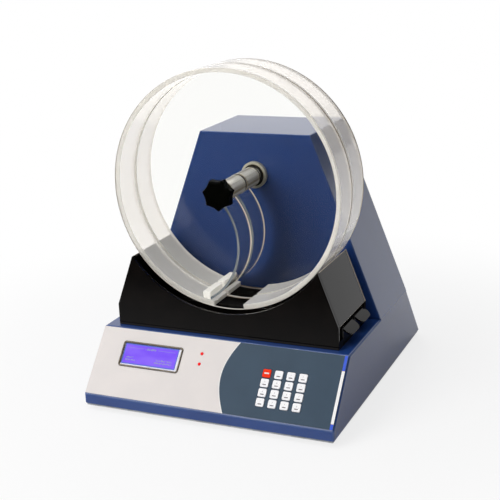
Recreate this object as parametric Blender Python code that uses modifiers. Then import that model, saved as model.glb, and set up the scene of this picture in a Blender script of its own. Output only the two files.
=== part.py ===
"""Tablet friability tester: two clear drums turn on one shaft above two collecting trays.

Metres, +Z up. X runs to the viewer's right and Y to the back. The origin is on the surface that
the feet stand on, under the middle of the case.
"""
import math

import bmesh
import bpy

# Fits
FIT_GAP = 0.0003
CUT_OVERRUN = 0.002
WELD = 0.000002

# Case: lip, sloping console, deck and sloping back
CASE_MARGIN = 0.017
CASE_DEPTH = 0.378
LIP_HEIGHT = 0.014
DECK_HEIGHT = 0.084
CONSOLE_RUN = 0.062
SHEET = 0.0015
BEND_RADIUS = 0.0025
CASE_FLANGE = 0.014
FOOT_HEIGHT = 0.005
FOOT_RADIUS = 0.010
FOOT_TAPER = 0.0015
FOOT_INSET = 0.034
FOOT_PLACES = (
    ("front_left", -1, -1),
    ("front_right", 1, -1),
    ("rear_left", -1, 1),
    ("rear_right", 1, 1),
)
PLATE_INSET = 0.002
CABLE_HOLE_WIDTH = 0.060
CABLE_HOLE_DEPTH = 0.030
CABLE_HOLE_X = -0.080
CABLE_HOLE_SETBACK = 0.250

# Tower on the deck
TOWER_GAP = 0.0127
TOWER_DEPTH = 0.122
TOWER_ABOVE_AXIS = 0.054
TOWER_TOP_WIDTH = 0.153
TOWER_FLANGE = 0.014
COVER_INSET = 0.003
VENT_LENGTH = 0.060
VENT_HEIGHT = 0.004
VENT_PITCH = 0.010
VENT_ROWS = 7
VENT_RISE = 0.120

# Drums, to the pharmacopoeia's sizes
DRUM_CLEARANCE = 0.032
DRUM_SETBACK = 0.085
CHAMBER_RADIUS = 0.144
CHAMBER_DEPTH = 0.038
WALL = 0.006
DISC = 0.003
HUB_RADIUS = 0.0125
HUB_GROOVE = 0.0008
HUB_GROOVE_WIDTH = 0.0015
ARM_INNER_RADIUS = 0.0805
ARM_THICKNESS = 0.003
ARM_CENTRE_ANGLE = math.radians(-134)
ARM_OVERRUN_ANGLE = math.radians(4)
ARM_STEPS = 22
ARM_FOOT_WIDTH = 0.010
ARM_FOOT_SHIFT = 0.0036
ARM_FOOT_HEIGHT = 0.010
WINDOW_WIDTH = 0.040
DRUM_SEGMENTS = 72
DRUM_NAMES = ("front", "rear")

# Shaft and what turns with it
SHAFT_RADIUS = 0.006
STUD_RADIUS = 0.004
SHOULDER_RADIUS = 0.0105
COUNT_DISC_RADIUS = 0.028
COUNT_DISC = 0.0015
COUNT_HUB_RADIUS = 0.010
COUNT_HUB = 0.005
COUNT_CLEARANCE = 0.003
COUNT_SLOTS = 8
COUNT_SLOT_WIDTH = 0.004
COUNT_SLOT_LENGTH = 0.006
COUNT_SLOT_EDGE = 0.004
ROUND_SEGMENTS = 32

# Star knob
KNOB_RADIUS = 0.020
KNOB_FLUTE = 0.0034
KNOB_THICKNESS = 0.014
KNOB_LOBES = 7
KNOB_LOBE_STEPS = 6
KNOB_COLLAR_RADIUS = 0.014
KNOB_COLLAR = 0.0045
KNOB_BORE_DEPTH = 0.014
KNOB_EDGE = 0.0014

# Bearings, their housing, the flange on the tower and the bracket behind it
BEARING_RADIUS = 0.013
BEARING_LENGTH = 0.030
HOUSING_RADIUS = 0.016
HOUSING_LENGTH = 0.033
HOUSING_FLANGE_RADIUS = 0.029
HOUSING_FLANGE = 0.006
FLANGE_RADIUS = 0.0175
FLANGE_DEPTH = 0.0055
SEAL_RADIUS = 0.0115
SEAL_DEPTH = 0.003
BRACKET_SETBACK = 0.018
BRACKET_SHEET = 0.003
BRACKET_WIDTH = 0.080
BRACKET_LENGTH = 0.054
BRACKET_RISE = 0.034
GEARBOX_SIDE = 0.060
GEARBOX_LENGTH = 0.023
GEARBOX_BORE = 0.012
GEARBOX_EDGE = 0.003
MOTOR_RADIUS = 0.027
MOTOR_LENGTH = 0.022
SENSOR_WIDTH = 0.012
SENSOR_HEIGHT = 0.014
SENSOR_SLOT = 0.004

# Chute and trays
CHUTE_FRONT_GAP = 0.010
CHUTE_REAR_REACH = 0.0037
CHUTE_KNEE = 0.028
CHUTE_RISE = 0.094
CHUTE_TAPER = 0.025
CHUTE_CLEARANCE = 0.002
PANEL = 0.004
SIDE_PLATE = 0.003
CUTOUT_STEPS = 36
GUIDE_FLOOR = 0.002
GUIDE_RIB_HEIGHT = 0.008
TRAY_PLAY = 0.0005
TRAY_WIDTH = 0.038
TRAY_END_PLAY = 0.005
TRAY_HEIGHT = 0.020
TRAY_WALL = 0.002
TAB_LENGTH = 0.014
TAB_THICKNESS = 0.0025
TAB_CORNER = 0.009
TAB_ANGLE = math.radians(60)

# Console overlay, display, lights and keys
OVERLAY = 0.001
OVERLAY_MARGIN = 0.0015
OVERLAY_CORNER = 0.0015
DISPLAY_MARGIN = 0.0782
DISPLAY_UP = 0.0588
DISPLAY_WINDOW_WIDTH = 0.0805
DISPLAY_WINDOW_HEIGHT = 0.0298
DISPLAY_CORNER = 0.0006
BEZEL_RIM = 0.002
BEZEL_DEPTH = 0.0008
MODULE_MARGIN = 0.004
MODULE_DEPTH = 0.007
GLASS_WIDTH = 0.0762
GLASS_HEIGHT = 0.0272
GLASS_SHIFT_X = -0.0012
GLASS_SHIFT_UP = 0.0006
FRAME_DEPTH = 0.0012
GLASS_SINK = 0.0006
LIGHT_SHIFT = 0.0683
LIGHT_UP = 0.0580
LIGHT_PITCH = 0.0135
LIGHT_RADIUS = 0.0019
LIGHT_PROUD = 0.0008
LIGHT_LENGTH = 0.006
LIGHT_NAMES = ("lower", "upper")
KEY_SIZE = 0.0104
KEY_CORNER = 0.0016
KEY_PROUD = 0.0008
KEY_DEPTH = 0.0050
KEY_TRAVEL = 0.0006
KEY_PITCH_X = 0.0155
KEY_PITCH_UP = 0.01215
KEYPAD_MARGIN = 0.0737
KEYPAD_UP = 0.0395
KEY_ROWS = 4
KEY_COLUMNS = 4
BOARD = 0.0016
BOARD_MARGIN = 0.005
STANDOFF_RADIUS = 0.0025
CORNER_STEPS = 3

# Main board and mains inlet
MAIN_BOARD_WIDTH = 0.120
MAIN_BOARD_DEPTH = 0.090
MAIN_BOARD_X = 0.070
MAIN_BOARD_SETBACK = 0.170
MAIN_STANDOFF = 0.008
SUPPLY_SHIFT_X = 0.035
SUPPLY_SHIFT_Y = 0.022
SUPPLY_SIZE = (0.036, 0.030, 0.024)
CHIP_SHIFT_X = -0.020
CHIP_SHIFT_Y = -0.015
CHIP_SIZE = (0.036, 0.014, 0.005)
BOARD_BLOCKS = (
    ("supply_block", SUPPLY_SHIFT_X, SUPPLY_SHIFT_Y, SUPPLY_SIZE),
    ("processor", CHIP_SHIFT_X, CHIP_SHIFT_Y, CHIP_SIZE),
)
INLET_X = 0.050
INLET_RISE = 0.050
INLET_FACE_WIDTH = 0.028
INLET_FACE_HEIGHT = 0.058
INLET_FACE = 0.003
INLET_BODY_MARGIN = 0.0015
INLET_BODY_DEPTH = 0.028
SOCKET_WIDTH = 0.024
SOCKET_HEIGHT = 0.0165
SOCKET_DEPTH = 0.019
SOCKET_DROP = 0.016
PIN_WIDTH = 0.002
PIN_HEIGHT = 0.004
PIN_LENGTH = 0.0135
PIN_SPREAD = 0.007
PIN_OFFSET = 0.002
ROCKER_WIDTH = 0.013
ROCKER_HEIGHT = 0.019
ROCKER_DEPTH = 0.007
ROCKER_PROUD = 0.0025
ROCKER_RISE = 0.014
ROCKER_TILT = math.radians(8)
ROCKER_POCKET_DEPTH = 0.013
ROCKER_PLAY = 0.0008
ROCKER_EDGE = 0.0012

# Places worked out from the sizes above
DRUM_RADIUS = CHAMBER_RADIUS + WALL
AXIS_HEIGHT = DECK_HEIGHT + DRUM_CLEARANCE + DRUM_RADIUS
TOWER_HEIGHT = AXIS_HEIGHT - DECK_HEIGHT + TOWER_ABOVE_AXIS
CASE_WIDTH = 2 * (DRUM_RADIUS + CASE_MARGIN)
PLATE_BOTTOM = FOOT_HEIGHT + FIT_GAP
CASE_BOTTOM = PLATE_BOTTOM + SHEET + FIT_GAP
PLATE_TOP = PLATE_BOTTOM + SHEET
DECK = CASE_BOTTOM + DECK_HEIGHT
AXIS_Z = CASE_BOTTOM + AXIS_HEIGHT
DRUM_PITCH = CHAMBER_DEPTH + DISC + DISC + FIT_GAP
DRUM_BACK = DRUM_SETBACK + 2 * DRUM_PITCH - FIT_GAP
CUTOUT_RADIUS = DRUM_RADIUS + CHUTE_CLEARANCE
CONSOLE_RISE = DECK_HEIGHT - LIP_HEIGHT
CONSOLE_LENGTH = math.hypot(CONSOLE_RUN, CONSOLE_RISE)
CONSOLE_ANGLE = math.atan2(CONSOLE_RISE, CONSOLE_RUN)
TOWER_SETBACK = DRUM_BACK + TOWER_GAP
TOWER_BACK = TOWER_SETBACK + TOWER_DEPTH
CHUTE_SETBACK = DRUM_SETBACK - CHUTE_FRONT_GAP - PANEL
CHUTE_DEPTH = DRUM_BACK + CHUTE_REAR_REACH - CHUTE_SETBACK
CHUTE_HALF_WIDTH = DRUM_RADIUS
CHUTE_TOP_HALF_WIDTH = CHUTE_HALF_WIDTH - CHUTE_TAPER
TRAY_LENGTH = 2 * CHUTE_HALF_WIDTH - SIDE_PLATE - TRAY_END_PLAY
DISPLAY_X = DISPLAY_MARGIN - CASE_WIDTH / 2
LIGHT_X = DISPLAY_X + LIGHT_SHIFT
KEYPAD_X = CASE_WIDTH / 2 - KEYPAD_MARGIN
BRACKET_FRONT = TOWER_SETBACK + BRACKET_SETBACK
BRACKET_BACK = BRACKET_FRONT + BRACKET_LENGTH

SIDE_VIEW = (math.radians(90), 0, math.radians(90))
FRONT_VIEW = (math.radians(90), 0, 0)


def from_front(setback):
    """World Y of a place that lies setback behind the front of the case."""
    return setback - CASE_DEPTH / 2


def clear_scene():
    """Remove every object, mesh, curve and material that the file holds."""
    for obj in list(bpy.data.objects):
        bpy.data.objects.remove(obj)
    for blocks in (bpy.data.meshes, bpy.data.curves, bpy.data.materials):
        for block in list(blocks):
            blocks.remove(block)


def new_collection(name):
    """A collection of the scene."""
    collection = bpy.data.collections.new(name)
    bpy.context.scene.collection.children.link(collection)
    return collection


clear_scene()
PARTS = new_collection("friability_tester")
CUTTERS = new_collection("cutters")


def material(name, color, roughness, metallic=0.0, alpha=1.0):
    """A Principled material."""
    made = bpy.data.materials.new(name)
    made.use_nodes = True
    shader = made.node_tree.nodes["Principled BSDF"]
    shader.inputs["Base Color"].default_value = (*color, 1.0)
    shader.inputs["Roughness"].default_value = roughness
    shader.inputs["Metallic"].default_value = metallic
    shader.inputs["Alpha"].default_value = alpha
    made.diffuse_color = (*color, alpha)
    return made


BLUE_PAINT = ((0.03, 0.06, 0.22), 0.25, 0.0)
BRIGHT_STEEL = ((0.75, 0.74, 0.72), 0.12, 1.0)
NICKEL = ((0.66, 0.62, 0.52), 0.3, 1.0)
ZINC = ((0.6, 0.6, 0.62), 0.4, 1.0)
CLEAR_ACRYLIC = ((0.95, 0.96, 0.95), 0.03, 0.0, 0.25)
BLACK_ACRYLIC = ((0.012, 0.011, 0.010), 0.1, 0.0)
BLACK_PLASTIC = ((0.01, 0.01, 0.01), 0.35, 0.0)
BLACK_RUBBER = ((0.015, 0.015, 0.015), 0.8, 0.0)
BOARD_GREEN = ((0.02, 0.16, 0.06), 0.4, 0.0)
WARM_WHITE = ((0.80, 0.77, 0.74), 0.4, 0.0)
KEY_WHITE = ((0.88, 0.88, 0.88), 0.4, 0.0)
KEY_RED = ((0.85, 0.05, 0.02), 0.4, 0.0)
DISPLAY_VIOLET = ((0.22, 0.16, 0.9), 0.15, 0.0)
LIGHT_RED = ((0.9, 0.02, 0.02), 0.2, 0.0)
LAMINATION = ((0.25, 0.24, 0.24), 0.5, 0.8)


def place(obj, finish, parent=None, location=(0, 0, 0), rotation=(0, 0, 0)):
    """Put a finished piece in the parts collection, with its own material and place."""
    obj.location = location
    obj.rotation_euler = rotation
    obj.parent = parent
    obj.data.materials.clear()
    obj.data.materials.append(material(obj.name, *finish))
    return obj


def frame(name, location, rotation):
    """An empty that holds the place and the direction of a group of pieces."""
    empty = bpy.data.objects.new(name, None)
    PARTS.objects.link(empty)
    empty.location = location
    empty.rotation_euler = rotation
    return empty


def mesh_object(name, bm, collection=None):
    """An object from a bmesh, which is freed."""
    mesh = bpy.data.meshes.new(name)
    bm.to_mesh(mesh)
    bm.free()
    obj = bpy.data.objects.new(name, mesh)
    (collection or PARTS).objects.link(obj)
    return obj


def evaluated_mesh(obj):
    """The mesh that an object's modifiers or curve settings give."""
    bpy.context.view_layer.update()
    depsgraph = bpy.context.evaluated_depsgraph_get()
    return bpy.data.meshes.new_from_object(obj.evaluated_get(depsgraph))


def plate(name, loops, thickness, collection=None):
    """A flat plate: the first loop is its outline and the others are its holes.

    It lies in its own XY plane, with half of its thickness on each side.
    """
    curve = bpy.data.curves.new(name, "CURVE")
    curve.dimensions = "2D"
    curve.fill_mode = "BOTH"
    curve.extrude = thickness / 2
    for loop in loops:
        spline = curve.splines.new("POLY")
        spline.points.add(len(loop) - 1)
        for point, (x, y) in zip(spline.points, loop):
            point.co = (x, y, 0, 1)
        spline.use_cyclic_u = True
    guide = bpy.data.objects.new(name, curve)
    (collection or PARTS).objects.link(guide)
    mesh = evaluated_mesh(guide)
    bpy.data.objects.remove(guide)
    bpy.data.curves.remove(curve)
    bm = bmesh.new()
    bm.from_mesh(mesh)
    bpy.data.meshes.remove(mesh)
    bmesh.ops.remove_doubles(bm, verts=bm.verts, dist=WELD)
    bmesh.ops.recalc_face_normals(bm, faces=bm.faces)
    return mesh_object(name, bm, collection)


def turned(name, profile, steps=ROUND_SEGMENTS, closed=False, collection=None):
    """A piece turned about its own Z; the profile holds (radius, height) points.

    It runs down the outer side, top to bottom. A closed profile makes a ring.
    """
    bm = bmesh.new()
    verts = [bm.verts.new((radius, 0, height)) for radius, height in profile]
    for first, second in zip(verts, verts[1:]):
        bm.edges.new((first, second))
    if closed:
        bm.edges.new((verts[-1], verts[0]))
    obj = mesh_object(name, bm, collection)
    screw = obj.modifiers.new("Turn", "SCREW")
    screw.axis = "Z"
    screw.steps = steps
    screw.render_steps = steps
    screw.use_merge_vertices = True
    screw.merge_threshold = WELD
    return obj


def ring(name, outer, inner, length, steps=ROUND_SEGMENTS, collection=None):
    """A plain ring with its top face at its own origin."""
    profile = [(outer, 0), (outer, -length), (inner, -length), (inner, 0)]
    return turned(name, profile, steps, True, collection)


def box(name, size, centre=(0, 0, 0), collection=None):
    """A box from a unit cube."""
    bm = bmesh.new()
    bmesh.ops.create_cube(bm, size=1)
    bmesh.ops.scale(bm, vec=size, verts=bm.verts)
    bmesh.ops.translate(bm, vec=centre, verts=bm.verts)
    return mesh_object(name, bm, collection)


def boolean(obj, other, operation="DIFFERENCE"):
    """Cut a piece with a cutter, or join it to one, by an exact Boolean."""
    other.hide_render = True
    other.display_type = "WIRE"
    modifier = obj.modifiers.new(operation.title(), "BOOLEAN")
    modifier.object = other
    modifier.operation = operation
    modifier.solver = "EXACT"
    return obj


def cutter_box(name, size, centre, parent=None):
    """A box in the cutters' collection."""
    cutter = box(name, size, collection=CUTTERS)
    cutter.location = centre
    cutter.parent = parent
    return cutter


def rod(name, radius, length, steps=ROUND_SEGMENTS, collection=None):
    """A plain cylinder about its own Z, with its middle at the origin."""
    bm = bmesh.new()
    bmesh.ops.create_cone(
        bm, cap_ends=True, segments=steps, radius1=radius, radius2=radius, depth=length
    )
    return mesh_object(name, bm, collection)


def circle(radius, steps, centre=(0, 0)):
    """Points of a circle."""
    turns = [2 * math.pi * step / steps for step in range(steps)]
    return [(centre[0] + radius * math.cos(a), centre[1] + radius * math.sin(a)) for a in turns]


def arc(radius, start, end, steps, centre=(0, 0)):
    """Points of an arc, both ends included."""
    angles = [start + (end - start) * step / steps for step in range(steps + 1)]
    return [(centre[0] + radius * math.cos(a), centre[1] + radius * math.sin(a)) for a in angles]


def rounded(width, height, corner, centre=(0, 0), steps=CORNER_STEPS):
    """Points of a rectangle with round corners."""
    points = []
    for quarter, (sx, sy) in enumerate(((1, 1), (-1, 1), (-1, -1), (1, -1))):
        middle = (
            centre[0] + sx * (width / 2 - corner),
            centre[1] + sy * (height / 2 - corner),
        )
        start = quarter * math.pi / 2
        points += arc(corner, start, start + math.pi / 2, steps, middle)
    return points


def bevel(obj, width, segments=1, limit=math.radians(30)):
    """Round or chamfer a piece's edges."""
    modifier = obj.modifiers.new("Bevel", "BEVEL")
    modifier.width = width
    modifier.segments = segments
    modifier.limit_method = "ANGLE"
    modifier.angle_limit = limit
    return obj


def open_faces(bm, direction, margin):
    """Leave a flange of the given width round each face that looks along direction."""
    faces = [f for f in bm.faces if f.normal.dot(direction) > math.cos(math.radians(5))]
    for face in faces:
        bmesh.ops.inset_individual(bm, faces=[face], thickness=margin, use_even_offset=True)
    bmesh.ops.delete(bm, geom=faces, context="FACES_ONLY")
    bmesh.ops.delete(bm, geom=[e for e in bm.edges if not e.link_faces], context="EDGES")


def merged_flats(bm):
    """Merge the triangles of each flat face into one face."""
    bmesh.ops.dissolve_limit(
        bm, angle_limit=math.radians(1), verts=bm.verts, edges=bm.edges
    )


def shell(obj, thickness):
    """Give an open surface its sheet thickness, on the inside."""
    modifier = obj.modifiers.new("Sheet", "SOLIDIFY")
    modifier.thickness = thickness
    modifier.offset = -1
    modifier.use_even_offset = True
    modifier.use_quality_normals = True
    return obj


def tower_half_width(rise):
    """Half the tower's width at a height above the deck."""
    return (CASE_WIDTH + (TOWER_TOP_WIDTH - CASE_WIDTH) * rise / TOWER_HEIGHT) / 2


def build_base():
    """Base plate and feet."""
    width = CASE_WIDTH - 2 * PLATE_INSET
    depth = CASE_DEPTH - 2 * PLATE_INSET
    base = box("base_plate", (width, depth, SHEET))
    place(base, ZINC, location=(0, 0, PLATE_BOTTOM + SHEET / 2))
    for name, side, end in FOOT_PLACES:
        bm = bmesh.new()
        bmesh.ops.create_cone(
            bm, cap_ends=True, segments=ROUND_SEGMENTS // 2,
            radius1=FOOT_RADIUS - FOOT_TAPER, radius2=FOOT_RADIUS, depth=FOOT_HEIGHT,
        )
        middle = (
            side * (CASE_WIDTH / 2 - FOOT_INSET),
            end * (CASE_DEPTH / 2 - FOOT_INSET),
            FOOT_HEIGHT / 2,
        )
        place(mesh_object(f"foot_{name}", bm), BLACK_RUBBER, location=middle)


def build_lower_case():
    """Lip, console, deck, sides and sloping back, bent from one sheet."""
    outline = [
        (from_front(0), CASE_BOTTOM),
        (from_front(CASE_DEPTH), CASE_BOTTOM),
        (from_front(TOWER_BACK), DECK),
        (from_front(CONSOLE_RUN), DECK),
        (from_front(0), CASE_BOTTOM + LIP_HEIGHT),
    ]
    solid = plate("lower_case", [outline], CASE_WIDTH)
    bm = bmesh.new()
    bm.from_mesh(solid.data)
    merged_flats(bm)
    bm.normal_update()
    open_faces(bm, (0, -1, 0), CASE_FLANGE)
    bm.to_mesh(solid.data)
    bm.free()
    bevel(solid, BEND_RADIUS, 2)
    shell(solid, SHEET)
    cable = cutter_box(
        "cable_hole",
        (CABLE_HOLE_WIDTH, CABLE_HOLE_DEPTH, 2 * (SHEET + CUT_OVERRUN)),
        (CABLE_HOLE_X, from_front(CABLE_HOLE_SETBACK), DECK),
    )
    boolean(solid, cable)
    reach = 2 * (SHEET + CUT_OVERRUN)
    window = cutter_box(
        "display_opening",
        (DISPLAY_WINDOW_WIDTH, DISPLAY_WINDOW_HEIGHT, reach),
        (DISPLAY_X, DISPLAY_UP, 0),
        CONSOLE,
    )
    boolean(solid, window)
    keypad = cutter_box(
        "keypad_opening",
        (
            (KEY_COLUMNS - 1) * KEY_PITCH_X + KEY_SIZE + 2 * FIT_GAP,
            (KEY_ROWS - 1) * KEY_PITCH_UP + KEY_SIZE + 2 * FIT_GAP,
            reach,
        ),
        (KEYPAD_X, KEYPAD_UP, 0),
        CONSOLE,
    )
    boolean(solid, keypad)
    for index in range(2):
        hole = rod(f"light_hole_{index}", LIGHT_RADIUS + FIT_GAP, reach, 12, CUTTERS)
        hole.location = (LIGHT_X, LIGHT_UP + index * LIGHT_PITCH, 0)
        hole.parent = CONSOLE
        boolean(solid, hole)
    place(solid, BLUE_PAINT, rotation=SIDE_VIEW)


def build_tower():
    """Tower shell and its rear cover."""
    bottom = DECK + FIT_GAP
    height = TOWER_HEIGHT - FIT_GAP
    tower = box("tower_case", (CASE_WIDTH, TOWER_DEPTH, height))
    bm = bmesh.new()
    bm.from_mesh(tower.data)
    top = [v for v in bm.verts if v.co.z > 0]
    bmesh.ops.scale(bm, vec=(TOWER_TOP_WIDTH / CASE_WIDTH, 1, 1), verts=top)
    bm.normal_update()
    open_faces(bm, (0, 1, 0), TOWER_FLANGE)
    open_faces(bm, (0, 0, -1), TOWER_FLANGE)
    bm.to_mesh(tower.data)
    bm.free()
    bevel(tower, BEND_RADIUS, 2)
    shell(tower, SHEET)
    nose = rod(
        "housing_hole", HOUSING_RADIUS + FIT_GAP, 2 * (SHEET + CUT_OVERRUN), collection=CUTTERS
    )
    nose.location = (0, from_front(TOWER_SETBACK), AXIS_Z)
    nose.rotation_euler = FRONT_VIEW
    boolean(tower, nose)
    middle = (0, from_front(TOWER_SETBACK + TOWER_DEPTH / 2), bottom + height / 2)
    place(tower, BLUE_PAINT, location=middle)

    low = tower_half_width(COVER_INSET) - COVER_INSET
    high = tower_half_width(TOWER_HEIGHT - COVER_INSET) - COVER_INSET
    outline = [
        (-low, DECK + COVER_INSET),
        (low, DECK + COVER_INSET),
        (high, DECK + TOWER_HEIGHT - COVER_INSET),
        (-high, DECK + TOWER_HEIGHT - COVER_INSET),
    ]
    loops = [outline, inlet_opening()]
    for side in (-1, 1):
        for row in range(VENT_ROWS):
            middle = (side * VENT_LENGTH * 0.6, DECK + VENT_RISE + row * VENT_PITCH)
            loops.append(rounded(VENT_LENGTH, VENT_HEIGHT, VENT_HEIGHT / 2, middle))
    cover = plate("rear_cover", loops, SHEET)
    back = from_front(TOWER_BACK) + FIT_GAP + SHEET / 2
    place(cover, BLUE_PAINT, location=(0, back, 0), rotation=FRONT_VIEW)


def inlet_opening():
    """Outline of the rear cover's opening for the mains inlet's body."""
    width = INLET_FACE_WIDTH - 2 * INLET_BODY_MARGIN + 2 * FIT_GAP
    height = INLET_FACE_HEIGHT - 2 * INLET_BODY_MARGIN + 2 * FIT_GAP
    left, right = INLET_X - width / 2, INLET_X + width / 2
    low = DECK + INLET_RISE - height / 2
    return [(left, low), (right, low), (right, low + height), (left, low + height)]


def key_places():
    """Row, column and place of each key on the console."""
    for row in range(KEY_ROWS):
        for column in range(KEY_COLUMNS):
            x = KEYPAD_X + (column - (KEY_COLUMNS - 1) / 2) * KEY_PITCH_X
            up = KEYPAD_UP + ((KEY_ROWS - 1) / 2 - row) * KEY_PITCH_UP
            yield row + 1, column + 1, (x, up)


def build_console():
    """Overlay, display, lights, keys and keypad board, all square to the console."""
    top = FIT_GAP + OVERLAY
    face = (CASE_WIDTH - 2 * OVERLAY_MARGIN, CONSOLE_LENGTH - 2 * OVERLAY_MARGIN)
    display = (DISPLAY_X, DISPLAY_UP)
    loops = [rounded(*face, OVERLAY_CORNER, (0, CONSOLE_LENGTH / 2))]
    loops.append(rounded(DISPLAY_WINDOW_WIDTH, DISPLAY_WINDOW_HEIGHT, DISPLAY_CORNER, display))
    for index in range(2):
        middle = (LIGHT_X, LIGHT_UP + index * LIGHT_PITCH)
        loops.append(circle(LIGHT_RADIUS + FIT_GAP, 12, middle))
    for _, _, middle in key_places():
        side = KEY_SIZE + 2 * FIT_GAP
        loops.append(rounded(side, side, KEY_CORNER + FIT_GAP, middle))
    place(plate("console_overlay", loops, OVERLAY), WARM_WHITE, CONSOLE, (0, 0, top - OVERLAY / 2))

    rim = [
        rounded(
            DISPLAY_WINDOW_WIDTH + 2 * BEZEL_RIM,
            DISPLAY_WINDOW_HEIGHT + 2 * BEZEL_RIM,
            OVERLAY_CORNER + BEZEL_RIM,
        ),
        rounded(DISPLAY_WINDOW_WIDTH, DISPLAY_WINDOW_HEIGHT, OVERLAY_CORNER),
    ]
    height = top + FIT_GAP + BEZEL_DEPTH / 2
    place(plate("display_bezel", rim, BEZEL_DEPTH), BLACK_PLASTIC, CONSOLE, (*display, height))

    build_display(display)
    for index, name in enumerate(LIGHT_NAMES):
        profile = [
            (0, top + LIGHT_PROUD),
            (LIGHT_RADIUS * math.cos(math.radians(45)), top + LIGHT_PROUD * 0.7),
            (LIGHT_RADIUS, top),
            (LIGHT_RADIUS, top - LIGHT_LENGTH),
            (0, top - LIGHT_LENGTH),
        ]
        spot = (LIGHT_X, LIGHT_UP + index * LIGHT_PITCH, 0)
        place(turned(f"status_light_{name}", profile, 12), LIGHT_RED, CONSOLE, spot)

    for row, column, middle in key_places():
        key = plate(f"key_r{row}c{column}", [rounded(KEY_SIZE, KEY_SIZE, KEY_CORNER)], KEY_DEPTH)
        finish = KEY_RED if (row, column) == (1, 1) else KEY_WHITE
        place(key, finish, CONSOLE, (*middle, top + KEY_PROUD - KEY_DEPTH / 2))

    build_keypad_board(top + KEY_PROUD - KEY_DEPTH - KEY_TRAVEL - FIT_GAP)


def build_display(display):
    """Display module: a metal frame in the window, with its glass let in, and the body behind."""
    body_top = -SHEET - FIT_GAP
    width = DISPLAY_WINDOW_WIDTH - 2 * FIT_GAP
    height = DISPLAY_WINDOW_HEIGHT - 2 * FIT_GAP
    body = box(
        "display_module",
        (width + 2 * MODULE_MARGIN, height + 2 * MODULE_MARGIN, MODULE_DEPTH),
        (0, 0, body_top - MODULE_DEPTH / 2),
    )
    front = box(
        "display_front",
        (width, height, SHEET + FRAME_DEPTH + MODULE_DEPTH / 2),
        (0, 0, (FRAME_DEPTH + body_top - MODULE_DEPTH / 2) / 2),
        CUTTERS,
    )
    front.location = (*display, 0)
    front.parent = CONSOLE
    boolean(body, front, "UNION")
    glass = cutter_box(
        "glass_recess",
        (GLASS_WIDTH, GLASS_HEIGHT, 2 * GLASS_SINK),
        (display[0] + GLASS_SHIFT_X, display[1] + GLASS_SHIFT_UP, display_front_top()),
        CONSOLE,
    )
    boolean(body, glass)
    place(body, DISPLAY_VIOLET, CONSOLE, (*display, 0))


def display_front_top():
    """Height of the display frame's front above the console sheet."""
    length = SHEET + FRAME_DEPTH + MODULE_DEPTH / 2
    middle = (FRAME_DEPTH - SHEET - FIT_GAP - MODULE_DEPTH / 2) / 2
    return middle + length / 2


def build_keypad_board(board_top):
    """Board under the keys, hung from the console sheet by four spacers."""
    width = (KEY_COLUMNS - 1) * KEY_PITCH_X + KEY_SIZE + 2 * (BOARD_MARGIN + STANDOFF_RADIUS)
    height = (KEY_ROWS - 1) * KEY_PITCH_UP + KEY_SIZE + 2 * (BOARD_MARGIN + STANDOFF_RADIUS)
    board = box("keypad_board", (width, height, BOARD), (0, 0, board_top - BOARD / 2))
    spacer_top = -SHEET - FIT_GAP
    spacer = spacer_top - board_top + BOARD / 2
    for sx in (-1, 1):
        for sy in (-1, 1):
            post = rod("keypad_spacer", STANDOFF_RADIUS, spacer, 10, CUTTERS)
            post.location = (
                KEYPAD_X + sx * (width / 2 - 2 * STANDOFF_RADIUS),
                KEYPAD_UP + sy * (height / 2 - 2 * STANDOFF_RADIUS),
                spacer_top - spacer / 2,
            )
            post.parent = CONSOLE
            boolean(board, post, "UNION")
    place(board, BOARD_GREEN, CONSOLE, (KEYPAD_X, KEYPAD_UP, 0))


def drum_frame(name, setback):
    """An empty on the shaft's axis, Z towards the viewer, at a setback from the case's front."""
    return frame(name, (0, from_front(setback), AXIS_Z), FRONT_VIEW)


def window_half_angle():
    """Half the angle that the discharge window takes out of the wall."""
    return math.asin(WINDOW_WIDTH / 2 / (CHAMBER_RADIUS + WALL / 2))


def drum_wall_outline():
    """The wall's ring, open at the bottom where the window is."""
    gap = window_half_angle()
    start = -math.pi / 2 + gap
    end = 3 * math.pi / 2 - gap
    outer = arc(DRUM_RADIUS, start, end, DRUM_SEGMENTS)
    inner = arc(CHAMBER_RADIUS, end, start, DRUM_SEGMENTS)
    return outer + inner


def arm_arc():
    """Centre of the lifting arm's arc, and its angles at the hub and at the wall."""
    middle = ARM_INNER_RADIUS + ARM_THICKNESS / 2
    reach = HUB_RADIUS + middle
    centre = (reach * math.cos(ARM_CENTRE_ANGLE), reach * math.sin(ARM_CENTRE_ANGLE))
    start = ARM_CENTRE_ANGLE + math.pi
    cosine = (reach**2 + middle**2 - CHAMBER_RADIUS**2) / (2 * reach * middle)
    return centre, start, start - math.acos(cosine)


def arm_outline():
    """The lifting arm: an arc that leaves the hub's side and ends at the wall."""
    centre, start, end = arm_arc()
    end -= ARM_OVERRUN_ANGLE
    outer = arc(ARM_INNER_RADIUS + ARM_THICKNESS, start, end, ARM_STEPS, centre)
    inner = arc(ARM_INNER_RADIUS, end, start, ARM_STEPS, centre)
    return outer + inner


def arm_foot_place():
    """Where the block at the arm's end meets the wall, beside the window."""
    centre, _, end = arm_arc()
    middle = ARM_INNER_RADIUS + ARM_THICKNESS / 2
    x = centre[0] + middle * math.cos(end) + ARM_FOOT_SHIFT
    return x, -math.sqrt(CHAMBER_RADIUS**2 - x**2)


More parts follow.
